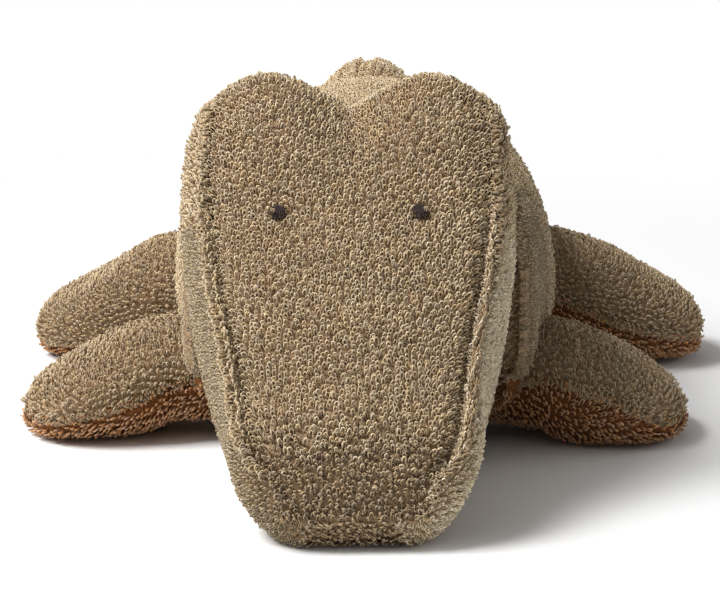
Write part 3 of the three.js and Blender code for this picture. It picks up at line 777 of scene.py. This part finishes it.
def cloth_tone_group():
    """Cloth colour that drifts over the surface between its own colour and a worn one."""
    group = bpy.data.node_groups.new("cloth_tone", "ShaderNodeTree")
    face = group.interface
    for name, kind in (("Colour", "NodeSocketColor"), ("Worn", "NodeSocketColor"),
                       ("Patch size", "NodeSocketFloat"), ("Amount", "NodeSocketFloat")):
        face.new_socket(name=name, in_out="INPUT", socket_type=kind)
    face.new_socket(name="Colour", in_out="OUTPUT", socket_type="NodeSocketColor")
    inside, out = node(group, "NodeGroupInput"), node(group, "NodeGroupOutput")
    place = node(group, "ShaderNodeTexCoord")
    noise = node(group, "ShaderNodeTexNoise", {"Detail": 4})
    ramp = node(group, "ShaderNodeMapRange", {"From Min": 0.35, "From Max": 0.68}, clamp=True)
    times = node(group, "ShaderNodeMath", operation="MULTIPLY")
    mix = node(group, "ShaderNodeMix", data_type="RGBA")
    link(group, (place, "Object", noise, "Vector"), (inside, "Patch size", noise, "Scale"),
         (noise, "Fac", ramp, "Value"), (ramp, "Result", times, 0), (inside, "Amount", times, 1),
         (times, 0, mix, 0), (inside, "Colour", mix, 6), (inside, "Worn", mix, 7), (mix, 2, out, 0))
    return group


TONE = cloth_tone_group()


def cloth_material(name, colour, worn, patches, amount, surface, relief, relief_sockets, strength, distance):
    """A material with a fine relief, its tree, its shader and the node of its drifting tone."""
    made = bpy.data.materials.new(name)
    made.use_nodes = True
    tree = made.node_tree
    shader = tree.nodes["Principled BSDF"]
    fill(shader, surface)
    tone = node(tree, "ShaderNodeGroup", {"Colour": colour, "Worn": worn, "Patch size": patches,
                                          "Amount": amount}, node_tree=TONE)
    place = node(tree, "ShaderNodeTexCoord")
    texture = node(tree, relief, relief_sockets)
    bump = node(tree, "ShaderNodeBump", {"Strength": strength, "Distance": distance})
    link(tree, (place, "Object", texture, "Vector"), (texture, 0, bump, "Height"),
         (bump, "Normal", shader, "Normal"))
    return made, tree, shader, tone


YARN_SURFACE = {"Roughness": 0.88, "Specular IOR Level": 0.1, "Sheen Weight": 0.1, "Sheen Roughness": 0.5}


def yarn_material(name, colour, worn, deep):
    """Yarn: darker at the root of each loop, which is painted shade where the loops shade their roots, with a
    tone of its own and drifting patches.
    """
    made, tree, shader, tone = cloth_material(
        name, colour, worn, 38, 0.55, YARN_SURFACE, "ShaderNodeTexNoise", {"Scale": 2600, "Detail": 2}, 0.35,
        0.0002)
    yarn = node(tree, "ShaderNodeAttribute", attribute_name="yarn")
    parts = node(tree, "ShaderNodeSeparateColor")
    # Painted shade: each loop runs from the deep colour at its root to the yarn's tone towards its tip.
    root = node(tree, "ShaderNodeMapRange", {"From Min": 0.25, "From Max": 0.92}, clamp=True)
    painted_root_shade = node(tree, "ShaderNodeMix", {6: deep}, data_type="RGBA")
    own = node(tree, "ShaderNodeHueSaturation")
    value = node(tree, "ShaderNodeMapRange", {"To Min": 0.76, "To Max": 1.19})
    warm = node(tree, "ShaderNodeMapRange", {"To Min": 0.85, "To Max": 1.12})
    link(tree, (yarn, "Color", parts, "Color"), (parts, "Green", root, "Value"), (root, "Result", painted_root_shade, 0),
         (tone, "Colour", painted_root_shade, 7), (parts, "Red", value, "Value"), (parts, "Blue", warm, "Value"),
         (painted_root_shade, 2, own, "Color"), (value, "Result", own, "Value"), (warm, "Result", own, "Saturation"),
         (own, "Color", shader, "Base Color"))
    return made


def plain_cloth_material(*given):
    """A cloth whose colour is its drifting tone."""
    made, tree, shader, tone = cloth_material(*given)
    link(tree, (tone, "Colour", shader, "Base Color"))
    return made


def backing_material(name, colour, worn):
    """The knitted ground that the loops stand on, seen in the gaps between them."""
    return plain_cloth_material(name, colour, worn, 300, 0.8, {"Roughness": 0.95, "Specular IOR Level": 0.1},
                                "ShaderNodeTexVoronoi", {"Scale": 900}, 0.8, 0.0006)


# Each yarn's third colour is painted shade at the roots of its loops.
khaki_yarn = yarn_material("khaki_yarn", srgb(220, 199, 164), srgb(206, 183, 148), srgb(194, 168, 135))
# A darker copy of the khaki yarn: painted shade on the legs and the face's right rim, where the key light
# falls strongly.
khaki_painted_shade_yarn = yarn_material("khaki_yarn_painted_shade", srgb(205, 183, 149), srgb(190, 167, 134), srgb(168, 142, 110))
# Darker still: painted shade on the face's left rim, which faces away from the key light.
rim_yarn = yarn_material("shaded_rim_yarn", srgb(170, 148, 118), srgb(152, 130, 101), srgb(120, 99, 74))
# Darker: painted shade on the tip of the nose, which faces down and forward.
nose_painted_shade_yarn = yarn_material("nose_khaki_yarn_painted_shade", srgb(192, 169, 136), srgb(172, 149, 117), srgb(138, 115, 87))
pale_yarn = yarn_material("pale_khaki_yarn", srgb(196, 178, 147), srgb(184, 165, 135), srgb(172, 151, 121))
# A brighter copy of the pale yarn: painted light on the left cheek, which lies in shade.
cheek_painted_light_yarn = yarn_material("cheek_yarn_painted_light", srgb(250, 235, 205), srgb(240, 223, 192), srgb(222, 204, 172))
rust_yarn = yarn_material("rust_yarn", srgb(222, 173, 129), srgb(202, 151, 107), srgb(156, 109, 72))
khaki_backing = backing_material("khaki_backing", srgb(176, 149, 117), srgb(158, 131, 100))
rust_backing = backing_material("rust_backing", srgb(140, 92, 54), srgb(116, 74, 42))


def backing_piece(form, rust, place=None):
    """The closed backing of a form. rust tells which faces take the rust cloth."""
    rows, ring = form.points.shape[:2]
    i, j = np.meshgrid(np.arange(rows - 1), np.arange(ring), indexing="ij")
    after = (j + 1) % ring
    here, there = i * ring, (i + 1) * ring
    quads = np.stack([here + j, here + after, there + after, there + j], -1).reshape(-1, 4)
    u0, u1, v0, v1 = i / (rows - 1), (i + 1) / (rows - 1), j / ring, (j + 1) / ring
    uv = np.stack([np.stack(corner, -1) for corner in ((u0, v0), (u0, v1), (u1, v1), (u1, v0))], -2)
    uv = uv.reshape(-1, 4, 2) * 0.98 + 0.01
    flat = form.points.reshape(-1, 3)
    if place is not None:
        flat = place(flat)
    a, b, c = (flat[quads[:, corner]] for corner in range(3))
    middle = flat.reshape(rows, ring, 3).mean(1)[quads[:, 0] // ring]
    if ((a - middle) * np.cross(b - a, c - a)).sum() < 0:
        quads, uv = quads[:, ::-1], uv[:, ::-1]
    piece = mesh_of(form.name + "_backing", into_frame(flat), quads, None, uv)
    work = bmesh.new()
    work.from_mesh(piece.data)
    rims = [edge for edge in work.edges if edge.is_boundary]
    for face in bmesh.ops.holes_fill(work, edges=rims, sides=0)["faces"]:
        face.smooth = True
    bmesh.ops.recalc_face_normals(work, faces=work.faces)
    work.to_mesh(piece.data)
    work.free()
    piece.data.materials.append(khaki_backing)
    piece.data.materials.append(rust_backing)
    index = np.zeros(len(piece.data.polygons), np.int32)
    mask = rust(form).reshape(-1)
    index[:len(mask)] = mask
    piece.data.polygons.foreach_set("material_index", index)
    return piece


# The most loops in a piece, how loops stray and differ in tone, and kinds of pile beside the usual one
MOST_LOOPS = 3900
JITTER, ROOT_DEPTH, NORMAL_STRAY = 0.14, 0.25, 0.1
TONE_OFFSET, TONE_RATE = 40, 2.3
TONE_MIDDLE, TONE_LUMPS, TONE_STRAY = 0.5, 0.22, 0.2
FINE_PILE = {"across": 1.7, "along": 1.5, "scale": 0.8}
NOSE_PILE = {"across": 1.6, "along": 1.3, "scale": 0.85, "stray": 55}
UNDER_PILE = {"across": 2.3, "along": 2.1}
TAIL_UNDER_PILE = {"across": 2.2, "along": 2.0}
RIM_PILE = {"across": 0.9, "along": 1.35, "scale": 1.3, "turns": (0, 0), "stray": 14}
LEG_PILE = {"turns": (1.2, 1.2), "scale": 0.92, "stray": 28}
LEG_FRINGE = {"across": 1.4, "along": 1.5, "scale": 0.95, "turns": (1.6, 1.6), "upright": 0.3, "within": 3.4}


def pile(name, form, low, middle, high, lay, material, drop, slot="khaki_terry", across=PITCH_ACROSS,
         along=PITCH_ALONG, scale=1.0, stray=15, upright=0.0, turns=(0.8, 0.8), edge_loops=EDGE_LOOPS,
         within=None, part=None, facing=None, aside=0.0):
    """The pile of one panel, in as many pieces as it takes.

    The loops lie along lay, turn outward at the panel's edges by turns, and all lean by aside.
    """
    spots = columns_of_loops(form, low, middle, high, across, along)
    if within is not None:
        spots = spots[np.minimum(spots[:, 2], spots[:, 3]) < within]
    base = between(form.points, spots[:, 0], spots[:, 1])
    faced = spots[:, 1] if facing is None else np.full(len(spots), float(facing))
    normal = between(form.normal, spots[:, 0], faced)
    keep = ~drop(base)
    base, normal, spots = base[keep], normal[keep], spots[keep]
    base = base + rng.normal(0, JITTER, base.shape) - normal * ROOT_DEPTH
    normal = unit(normal + rng.normal(0, NORMAL_STRAY, normal.shape))
    ahead = unit(between(form.points, spots[:, 0], spots[:, 1] + 0.5)
                 - between(form.points, spots[:, 0], spots[:, 1] - 0.5))
    from_low, from_high = spots[:, 2:3] / edge_loops, spots[:, 3:] / edge_loops
    edge = turns[1] * np.exp(-from_high ** 2) - turns[0] * np.exp(-from_low ** 2)
    way = np.asarray(lay, float) / np.linalg.norm(lay) + (edge + aside) * ahead
    tone = TONE_MIDDLE + TONE_LUMPS * lumps(base * TONE_RATE + TONE_OFFSET)
    tone = np.clip(tone + rng.normal(0, TONE_STRAY, len(base)), 0, 1)
    if part is not None:
        way = part(base, way)
    base = into_frame(base)
    made = []
    parts = max(1, math.ceil(len(base) / MOST_LOOPS))
    for number, chosen in enumerate(np.array_split(np.arange(len(base)), parts)):
        title = f"{name}_pile" if parts == 1 else f"{name}_pile_{number + 1}"
        piece = yarn_loops(title, base[chosen], normal[chosen], way[chosen], tone[chosen], upright, scale,
                           stray)
        piece.data.materials.append(material)
        made.append(piece)
    return made


def settle(pieces, node_name, body, bend=None):
    """Pieces stand for this node and move with a body, or, where a bend is given, have their place baked into
    their mesh.
    """
    for piece in pieces:
        if bend is None:
            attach(piece, body)
        else:
            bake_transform(piece)
    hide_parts(node_name)


# The head's cloth
CHIN_RUST_FROM, NOSE_TIP = 5, 9
RIM_FROM, RIM_TO = 4, 106
NOSE_FADE_POWER, NOSE_OVERLAP, FACE_LOSS, FACE_KEPT = 1.3, 1.4, 1.1, 0.06
HIGH_FROM, HIGH_OVER, HIGH_SLOPE, HIGH_PLACE, HIGH_OVERLAP = 82, 10, 0.35, 75, 1.1


def head_rust(form):
    """The faces of the chin, but for the tip of the nose."""
    j = np.arange(form.points.shape[1])
    under = (j < CHIN_STEPS) | (j >= HEAD_RING - CHIN_STEPS)
    return under[None, :] & (form.points[:-1, :, 1] > CHIN_RUST_FROM)


head_backing = backing_piece(head_form, head_rust, on_head)
head_form.points = on_head(head_form.points)
head_form.normal = head_form.normal @ head_turn.T
eye_spots = {sign: on_head(eye_point(sign)[None])[0] for sign in (1, -1)}
EYE_CLEAR, EYE_CLEAR_RADIUS = np.array([0, 0.75, 0.68]), 4.3
PARTING, PARTING_RADIUS = 2.2, 4.6
FACE_LAY, NOSE_LAY, CHIN_LAY = (0, 0.8, 1), (0, -0.3, 1), (0, 1, 0)
CHEEK_LAY, RIM_LAY = (0, 0.6, 0.3), (0, 0.1, 0.5)
RIM_STEPS, FACING_STEPS, RIM_LEAN = 1.0, 7, 2.4


def on_eye(points):
    """Loops that would cover an eye, which lie below it as well as on it."""
    far = [np.linalg.norm(points - spot + EYE_CLEAR, axis=1) for spot in eye_spots.values()]
    return np.min(far, axis=0) < EYE_CLEAR_RADIUS


def parted(points, way):
    """Loops beside an eye lean away from it."""
    for spot in eye_spots.values():
        apart = points - spot
        far = np.linalg.norm(apart, axis=1, keepdims=True)
        way = way + PARTING * apart / np.maximum(far, 1e-6) * np.exp(-(far / PARTING_RADIUS) ** 4)
    return way


def chance(points):
    return rng.uniform(0, 1, len(points))


def near_nose(points):
    """The share of the finer loops, in yarn darkened with painted shade, which grows towards the tip of the
    nose.
    """
    return below(points[:, 1], start=24, over=21) ** NOSE_FADE_POWER


def off_nose(points):
    return chance(points) > near_nose(points) * NOSE_OVERLAP


def covered_on_face(points):
    """The eyes, and the front of the nose, which has a finer pile of its own."""
    return on_eye(points) | (chance(points) < near_nose(points) * FACE_LOSS - FACE_KEPT)


def high_on_side(points):
    """The share of the loops that are like those of the face, high up beside the eyes."""
    height = points[:, 2] + HIGH_SLOPE * (points[:, 1] - HIGH_PLACE)
    return np.clip((height - HIGH_FROM) / HIGH_OVER, 0, 1)


def high_up(points):
    return chance(points) < high_on_side(points)


def low_down(points):
    return chance(points) > high_on_side(points) * HIGH_OVERLAP


def off_rim(points):
    return (points[:, 1] < RIM_FROM) | (points[:, 1] > RIM_TO)


def at_nose_tip(points):
    return points[:, 1] < NOSE_TIP


def behind_nose_tip(points):
    return points[:, 1] >= NOSE_TIP


def cheek_pile(side, low, middle, high, yarn):
    """Fine pale pile down the cheek, which turns into that of the face high up."""
    name = f"cheek_panel_{side}"
    return (pile(name, head_form, low, middle, high, CHEEK_LAY, yarn, high_up, **FINE_PILE)
            + pile(name + "_high", head_form, low, middle, high, FACE_LAY, khaki_yarn, low_down))


def rim_pile(side, sign, seam, yarn):
    """Long loops rooted on the rim of the face that lean out over the cheek."""
    return pile(f"face_panel_rim_{side}", head_form, seam - RIM_STEPS, float(seam), seam + RIM_STEPS,
                RIM_LAY, yarn, off_rim, facing=seam + FACING_STEPS * sign, aside=-sign * RIM_LEAN, **RIM_PILE)


# The left cheek, which lies in shade, takes the pale yarn brightened with painted light.
cheek_left_pile = cheek_pile("left", CHIN_STEPS, CHEEK_CORNER, FACE_SEAM, cheek_painted_light_yarn)
cheek_right_pile = cheek_pile("right", HEAD_RING - FACE_SEAM, HEAD_RING - CHEEK_CORNER,
                              HEAD_RING - CHIN_STEPS, pale_yarn)
# Both rims take yarn darkened with painted shade.
rim_piles = rim_pile("left", 1, FACE_SEAM, rim_yarn) + rim_pile("right", -1, HEAD_RING - FACE_SEAM, khaki_painted_shade_yarn)
chin = (head_form, HEAD_RING - CHIN_STEPS, HEAD_RING, HEAD_RING + CHIN_STEPS)
face = (head_form, FACE_SEAM, CROWN, HEAD_RING - FACE_SEAM)
chin_pile = pile("chin_panel", *chin, CHIN_LAY, rust_yarn, at_nose_tip, "rust_terry", **UNDER_PILE)
# The nose's finer pile takes yarn darkened with painted shade.
nose_pile = pile("nose_tip", *chin, NOSE_LAY, nose_painted_shade_yarn, behind_nose_tip, **NOSE_PILE)
face_pile = pile("face_panel", *face, FACE_LAY, khaki_yarn, covered_on_face, part=parted, turns=(0.9, 0.9),
                 edge_loops=FACE_EDGE_LOOPS)
nose_front = pile("nose_front", *face, NOSE_LAY, nose_painted_shade_yarn, off_nose, **NOSE_PILE)
for pieces, node_name in (
        ([head_backing], "head_filling"), (face_pile + nose_pile + nose_front + rim_piles, "face_panel"),
        (cheek_left_pile, "cheek_panel_left"), (cheek_right_pile, "cheek_panel_right"),
        (chin_pile, "chin_panel")):
    settle(pieces, node_name, "head")


# The body's cloth
def along_middle(place):
    """A point of the frame on the animal's middle line."""
    return (0, (BACK_OF_FRAME + place) * METRES, 0)


def below_seam(cross, ring):
    def mask(form):
        j = np.arange(ring)[None, :]
        corner = cross[:-1, None]
        return (j < corner) | (j >= ring - corner)
    return mask


def on_shoulder(points):
    """How far the loops belong to the fine pale cloth beside the neck, from 0 to 1."""
    return below(points[:, 1], start=172, over=14) * below(points[:, 2], start=92, over=14)


def off_back(points):
    return body_hidden(points) | (chance(points) < on_shoulder(points))


def off_shoulder(points):
    return body_hidden(points) | (chance(points) > on_shoulder(points))


NECK_BEND_FROM, NECK_BEND_TO = 168, 134
neck_bend = (along_middle(NECK_BEND_FROM), along_middle(NECK_BEND_TO))
BACK_LAY, TAIL_LAY, UNDER_LAY = (0, 0.7, -1), (0, 1, -0.7), (0, 1, -0.2)
BACKING_OVER_SEAM = 1.0
body_backing = backing_piece(body_form, below_seam(belly_cross - BACKING_OVER_SEAM, BODY_RING))
back = (body_form, belly_cross, BODY_RING / 2, BODY_RING - belly_cross)
back_pile = pile("back_panel", *back, BACK_LAY, khaki_yarn, off_back)
back_pile += pile("back_panel_shoulder", *back, BACK_LAY, pale_yarn, off_shoulder, **FINE_PILE)
belly_pile = pile("belly_panel", body_form, BODY_RING - belly_cross, float(BODY_RING),
                  BODY_RING + belly_cross, UNDER_LAY, rust_yarn, body_hidden, "rust_terry", **UNDER_PILE)
for pieces, node_name in (
        ([body_backing], "body_filling"), (back_pile, "back_panel"), (belly_pile, "belly_panel")):
    settle(pieces, node_name, "head", neck_bend)

# The tail's cloth
TAIL_BEND_BEFORE, TAIL_BEND_BEHIND = 22, 40
tail_bend = (along_middle(TAIL_AXIS - TAIL_BEND_BEFORE), along_middle(TAIL_AXIS + TAIL_BEND_BEHIND))
tail_backing = backing_piece(tail_form, below_seam(tail_cross - BACKING_OVER_SEAM, TAIL_RING))
ridge = TAIL_RING / 2
tail_left_pile = pile("tail_side_left", tail_form, tail_cross, (tail_cross + ridge) / 2, ridge, TAIL_LAY,
                      khaki_yarn, tail_hidden)
tail_right_pile = pile("tail_side_right", tail_form, ridge, (TAIL_RING - tail_cross + ridge) / 2,
                       TAIL_RING - tail_cross, TAIL_LAY, khaki_yarn, tail_hidden)
tail_under_pile = pile("tail_underside", tail_form, TAIL_RING - tail_cross, float(TAIL_RING),
                       TAIL_RING + tail_cross, UNDER_LAY, rust_yarn, tail_hidden, "rust_terry",
                       **TAIL_UNDER_PILE)
for pieces, node_name in (
        ([tail_backing], "tail_filling"), (tail_left_pile, "tail_side_left"),
        (tail_right_pile, "tail_side_right"), (tail_under_pile, "tail_underside")):
    settle(pieces, node_name, "tail", tail_bend)

# The legs' cloth
LEG_BEND_FROM, LEG_BEND_TO = -6, 22
for form in leg_forms:
    name = form.name
    up = np.array([0, 0, 1.0])
    outward = form.turn @ np.array([form.sign, 0, 0])
    upper = (form, form.seam, LEG_RING / 2, LEG_RING - form.seam)
    backing = backing_piece(form, below_seam(form.seam, LEG_RING))
    # The legs' khaki yarn is darkened with painted shade.
    upper_pile = pile(f"{name}_upper", *upper, outward * 0.2 + up, khaki_painted_shade_yarn, leg_hidden, **LEG_PILE)
    fringe = pile(f"{name}_edge", *upper, outward * 0.4 + up, khaki_painted_shade_yarn, leg_hidden, **LEG_FRINGE)
    sole_pile = pile(f"{name}_sole", form, LEG_RING - form.seam, float(LEG_RING), LEG_RING + form.seam,
                     outward + up * 0.5, rust_yarn, leg_hidden, "rust_terry")
    bend = [tuple((into_frame(form.hinge + outward * reach) * METRES).tolist())
            for reach in (LEG_BEND_FROM, LEG_BEND_TO)]
    settle([backing], f"{name}_filling", name, bend)
    settle(upper_pile + fringe, f"{name}_upper", name, bend)
    settle(sole_pile, f"{name}_sole", name, bend)

# The embroidered eyes: satin stitches laid side by side on a slant, plump in the middle,
# and a small tuft of yarn that pokes through beside them
charcoal = plain_cloth_material(
    "charcoal_thread", srgb(62, 50, 49), srgb(42, 34, 35), 900, 0.8,
    {"Roughness": 0.6, "Specular IOR Level": 0.1}, "ShaderNodeTexNoise", {"Scale": 5000}, 0.3, 0.0001)
STITCHES, STITCH_STEPS, STITCH_SIDES = 6, 13, 6
EYE_HALF, EYE_TALL, EYE_STAND, EYE_ARCH, STITCH_RADIUS = 2.4, 3.15, 2.0, 1.15, 0.42
EYE_SLANTS, EYE_INWARD = {1: -64, -1: -70}, {1: 1.0, -1: 0.1}
STITCH_LENGTHS, STITCH_WAVE = (0.86, 1.16), 0.2
TUFT_ASIDE, TUFT_BELOW, TUFT_STAND, TUFT_GAP, TUFT_SCALE = 1.5, 0.9, 1.7, 0.3, 0.6


def stitch_points(number, ground, run, beside_run, normal):
    """One stitch, a thread that arches along run."""
    offset = (number + 0.5) / STITCHES * 2 - 1
    reach = EYE_TALL * math.sqrt(max(1 - (offset * 0.93) ** 2, 0.05)) * rng.uniform(*STITCH_LENGTHS)
    plump = math.sqrt(max(1 - (offset * 0.8) ** 2, 0))
    points = []
    for t in even(STITCH_STEPS, -1, 1):
        taper = math.sqrt(max(1 - t * t, 0))
        wave = STITCH_WAVE * math.sin(5.5 * t + 0.6 * number)
        centre = (ground + run * (t * reach) + beside_run * (offset * EYE_HALF + wave)
                  + normal * (taper * EYE_ARCH * plump + 0.2 + EYE_STAND))
        thick = STITCH_RADIUS * (0.55 + 0.45 * taper)
        for angle in np.arange(STITCH_SIDES) * 2 * math.pi / STITCH_SIDES:
            points.append(centre + beside_run * math.cos(angle) * thick + normal * math.sin(angle) * thick)
    return points


def stitched_eye(side, sign):
    surface = head_form.points.reshape(-1, 3)
    near = np.argmin(np.linalg.norm(surface - eye_spots[sign], axis=1))
    normal = head_form.normal.reshape(-1, 3)[near]
    level = unit(np.cross([0, 0, 1.0], normal))
    ground = surface[near] - level * EYE_INWARD[sign]
    upward = np.cross(normal, level)
    slant = math.radians(EYE_SLANTS[sign])
    run = level * math.cos(slant) + upward * math.sin(slant)
    points = []
    for number in range(STITCHES):
        points += stitch_points(number, ground, run, np.cross(normal, run), normal)
    quads, ends = tube_faces(STITCH_STEPS, STITCH_SIDES)
    each = STITCH_STEPS * STITCH_SIDES
    piece = mesh_of(f"eye_{side}_stitches", into_frame(np.array(points)), repeated(quads, STITCHES, each),
                    repeated(ends, STITCHES, each))
    piece.data.materials.append(charcoal)
    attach(piece, "head")
    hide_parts(f"eye_{side}")
    poke = ground + level * sign * TUFT_ASIDE - upward * TUFT_BELOW + normal * (EYE_STAND + TUFT_STAND)
    tuft = yarn_loops(f"eye_{side}_tuft", into_frame(np.array([poke, poke + upward * TUFT_GAP])),
                      np.array([normal, normal]), np.array([upward, upward + level * sign]), np.ones(2),
                      scale=TUFT_SCALE)
    tuft.data.materials.append(pale_yarn)
    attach(tuft, "head")


stitched_eye("left", 1)
stitched_eye("right", -1)

# The camera at the photograph's viewing angle. Angles are in degrees.
PICTURE_WIDTH_PX, SENSOR_WIDTH = 720, 36
FOCUS_PX, DISTANCE, RISE = 2860.0, 820.0, 253.7
AROUND, DOWN, ASIDE = 1.7, 12.12, 0.28
NOSE_IN_FRAME = -225
around = math.radians(AROUND)
stand = Vector((DISTANCE * math.sin(around), NOSE_IN_FRAME - DISTANCE * math.cos(around), RISE)) * METRES
camera = bpy.data.objects.new("camera", bpy.data.cameras.new("camera"))
bpy.context.scene.collection.objects.link(camera)
camera.data.sensor_width = SENSOR_WIDTH
camera.data.lens = FOCUS_PX * SENSOR_WIDTH / PICTURE_WIDTH_PX
camera.data.clip_start = 0.01
camera.data.clip_end = 20
camera.location = stand
camera.rotation_euler = (math.radians(90 - DOWN), 0, around - math.radians(ASIDE))
bpy.context.scene.camera = camera


def floor_material():
    """A pale floor that holds the shadow near the animal and is plain white to the camera beyond."""
    made = bpy.data.materials.new("pale_floor")
    made.use_nodes = True
    tree = made.node_tree
    shader = tree.nodes["Principled BSDF"]
    fill(shader, {"Base Color": (0.92, 0.92, 0.92, 1), "Roughness": 0.9, "Specular IOR Level": 0.1})
    white = node(tree, "ShaderNodeEmission", {"Strength": 1.0})
    place = node(tree, "ShaderNodeTexCoord")
    far = node(tree, "ShaderNodeVectorMath", operation="LENGTH")
    fade = node(tree, "ShaderNodeMapRange", {"From Min": 0.2, "From Max": 0.48}, clamp=True,
                interpolation_type="SMOOTHSTEP")
    path = node(tree, "ShaderNodeLightPath")
    seen = node(tree, "ShaderNodeMath", operation="MULTIPLY")
    mix = node(tree, "ShaderNodeMixShader")
    link(tree, (place, "Object", far, 0), (far, "Value", fade, "Value"), (fade, "Result", seen, 0),
         (path, "Is Camera Ray", seen, 1), (seen, 0, mix, 0), (shader, 0, mix, 1), (white, 0, mix, 2),
         (mix, 0, tree.nodes["Material Output"], "Surface"))
    return made


bpy.ops.mesh.primitive_plane_add(size=6)
floor = bpy.context.object
floor.name = "floor"
floor.data.materials.append(floor_material())


def studio_world():
    """Soft light from all sides, and plain white to the camera, in gloss and through glass."""
    world = bpy.data.worlds.new("studio")
    world.use_nodes = True
    tree = world.node_tree
    tree.nodes.clear()
    soft = node(tree, "ShaderNodeBackground", {"Color": (1, 1, 1, 1), "Strength": 0.17})
    plain = node(tree, "ShaderNodeBackground", {"Color": (1, 1, 1, 1), "Strength": 1.0})
    path = node(tree, "ShaderNodeLightPath")
    most = node(tree, "ShaderNodeMath", operation="MAXIMUM")
    more = node(tree, "ShaderNodeMath", operation="MAXIMUM")
    mix = node(tree, "ShaderNodeMixShader")
    out = node(tree, "ShaderNodeOutputWorld")
    link(tree, (path, "Is Camera Ray", most, 0), (path, "Is Glossy Ray", most, 1), (most, 0, more, 0),
         (path, "Is Transmission Ray", more, 1), (more, 0, mix, 0), (soft, 0, mix, 1), (plain, 0, mix, 2),
         (mix, 0, out, "Surface"))
    return world


bpy.context.scene.world = studio_world()


def lamp(name, place, aim, size, power):
    light = bpy.data.lights.new(name, "AREA")
    light.shape = "SQUARE"
    light.size = size
    light.energy = power
    piece = bpy.data.objects.new(name, light)
    piece.location = place
    piece.rotation_euler = (Vector(aim) - Vector(place)).to_track_quat("-Z", "Y").to_euler()
    bpy.context.scene.collection.objects.link(piece)


# Places in metres, power in watts
lamp("key", (-1.02, -0.3, 1.36), (0, -0.05, 0.03), 0.8, 36.5)
lamp("fill", (-0.8, -1.1, 1.6), (0, 0, 0.05), 1.2, 4)
lamp("side", (1.3, 0.45, 0.45), (0, -0.05, 0.05), 1.0, 3.2)
lamp("rim", (-0.3, 1.4, 1.3), (0, 0, 0.05), 1.0, 2.0)

view = bpy.context.scene.view_settings
view.view_transform = "Standard"
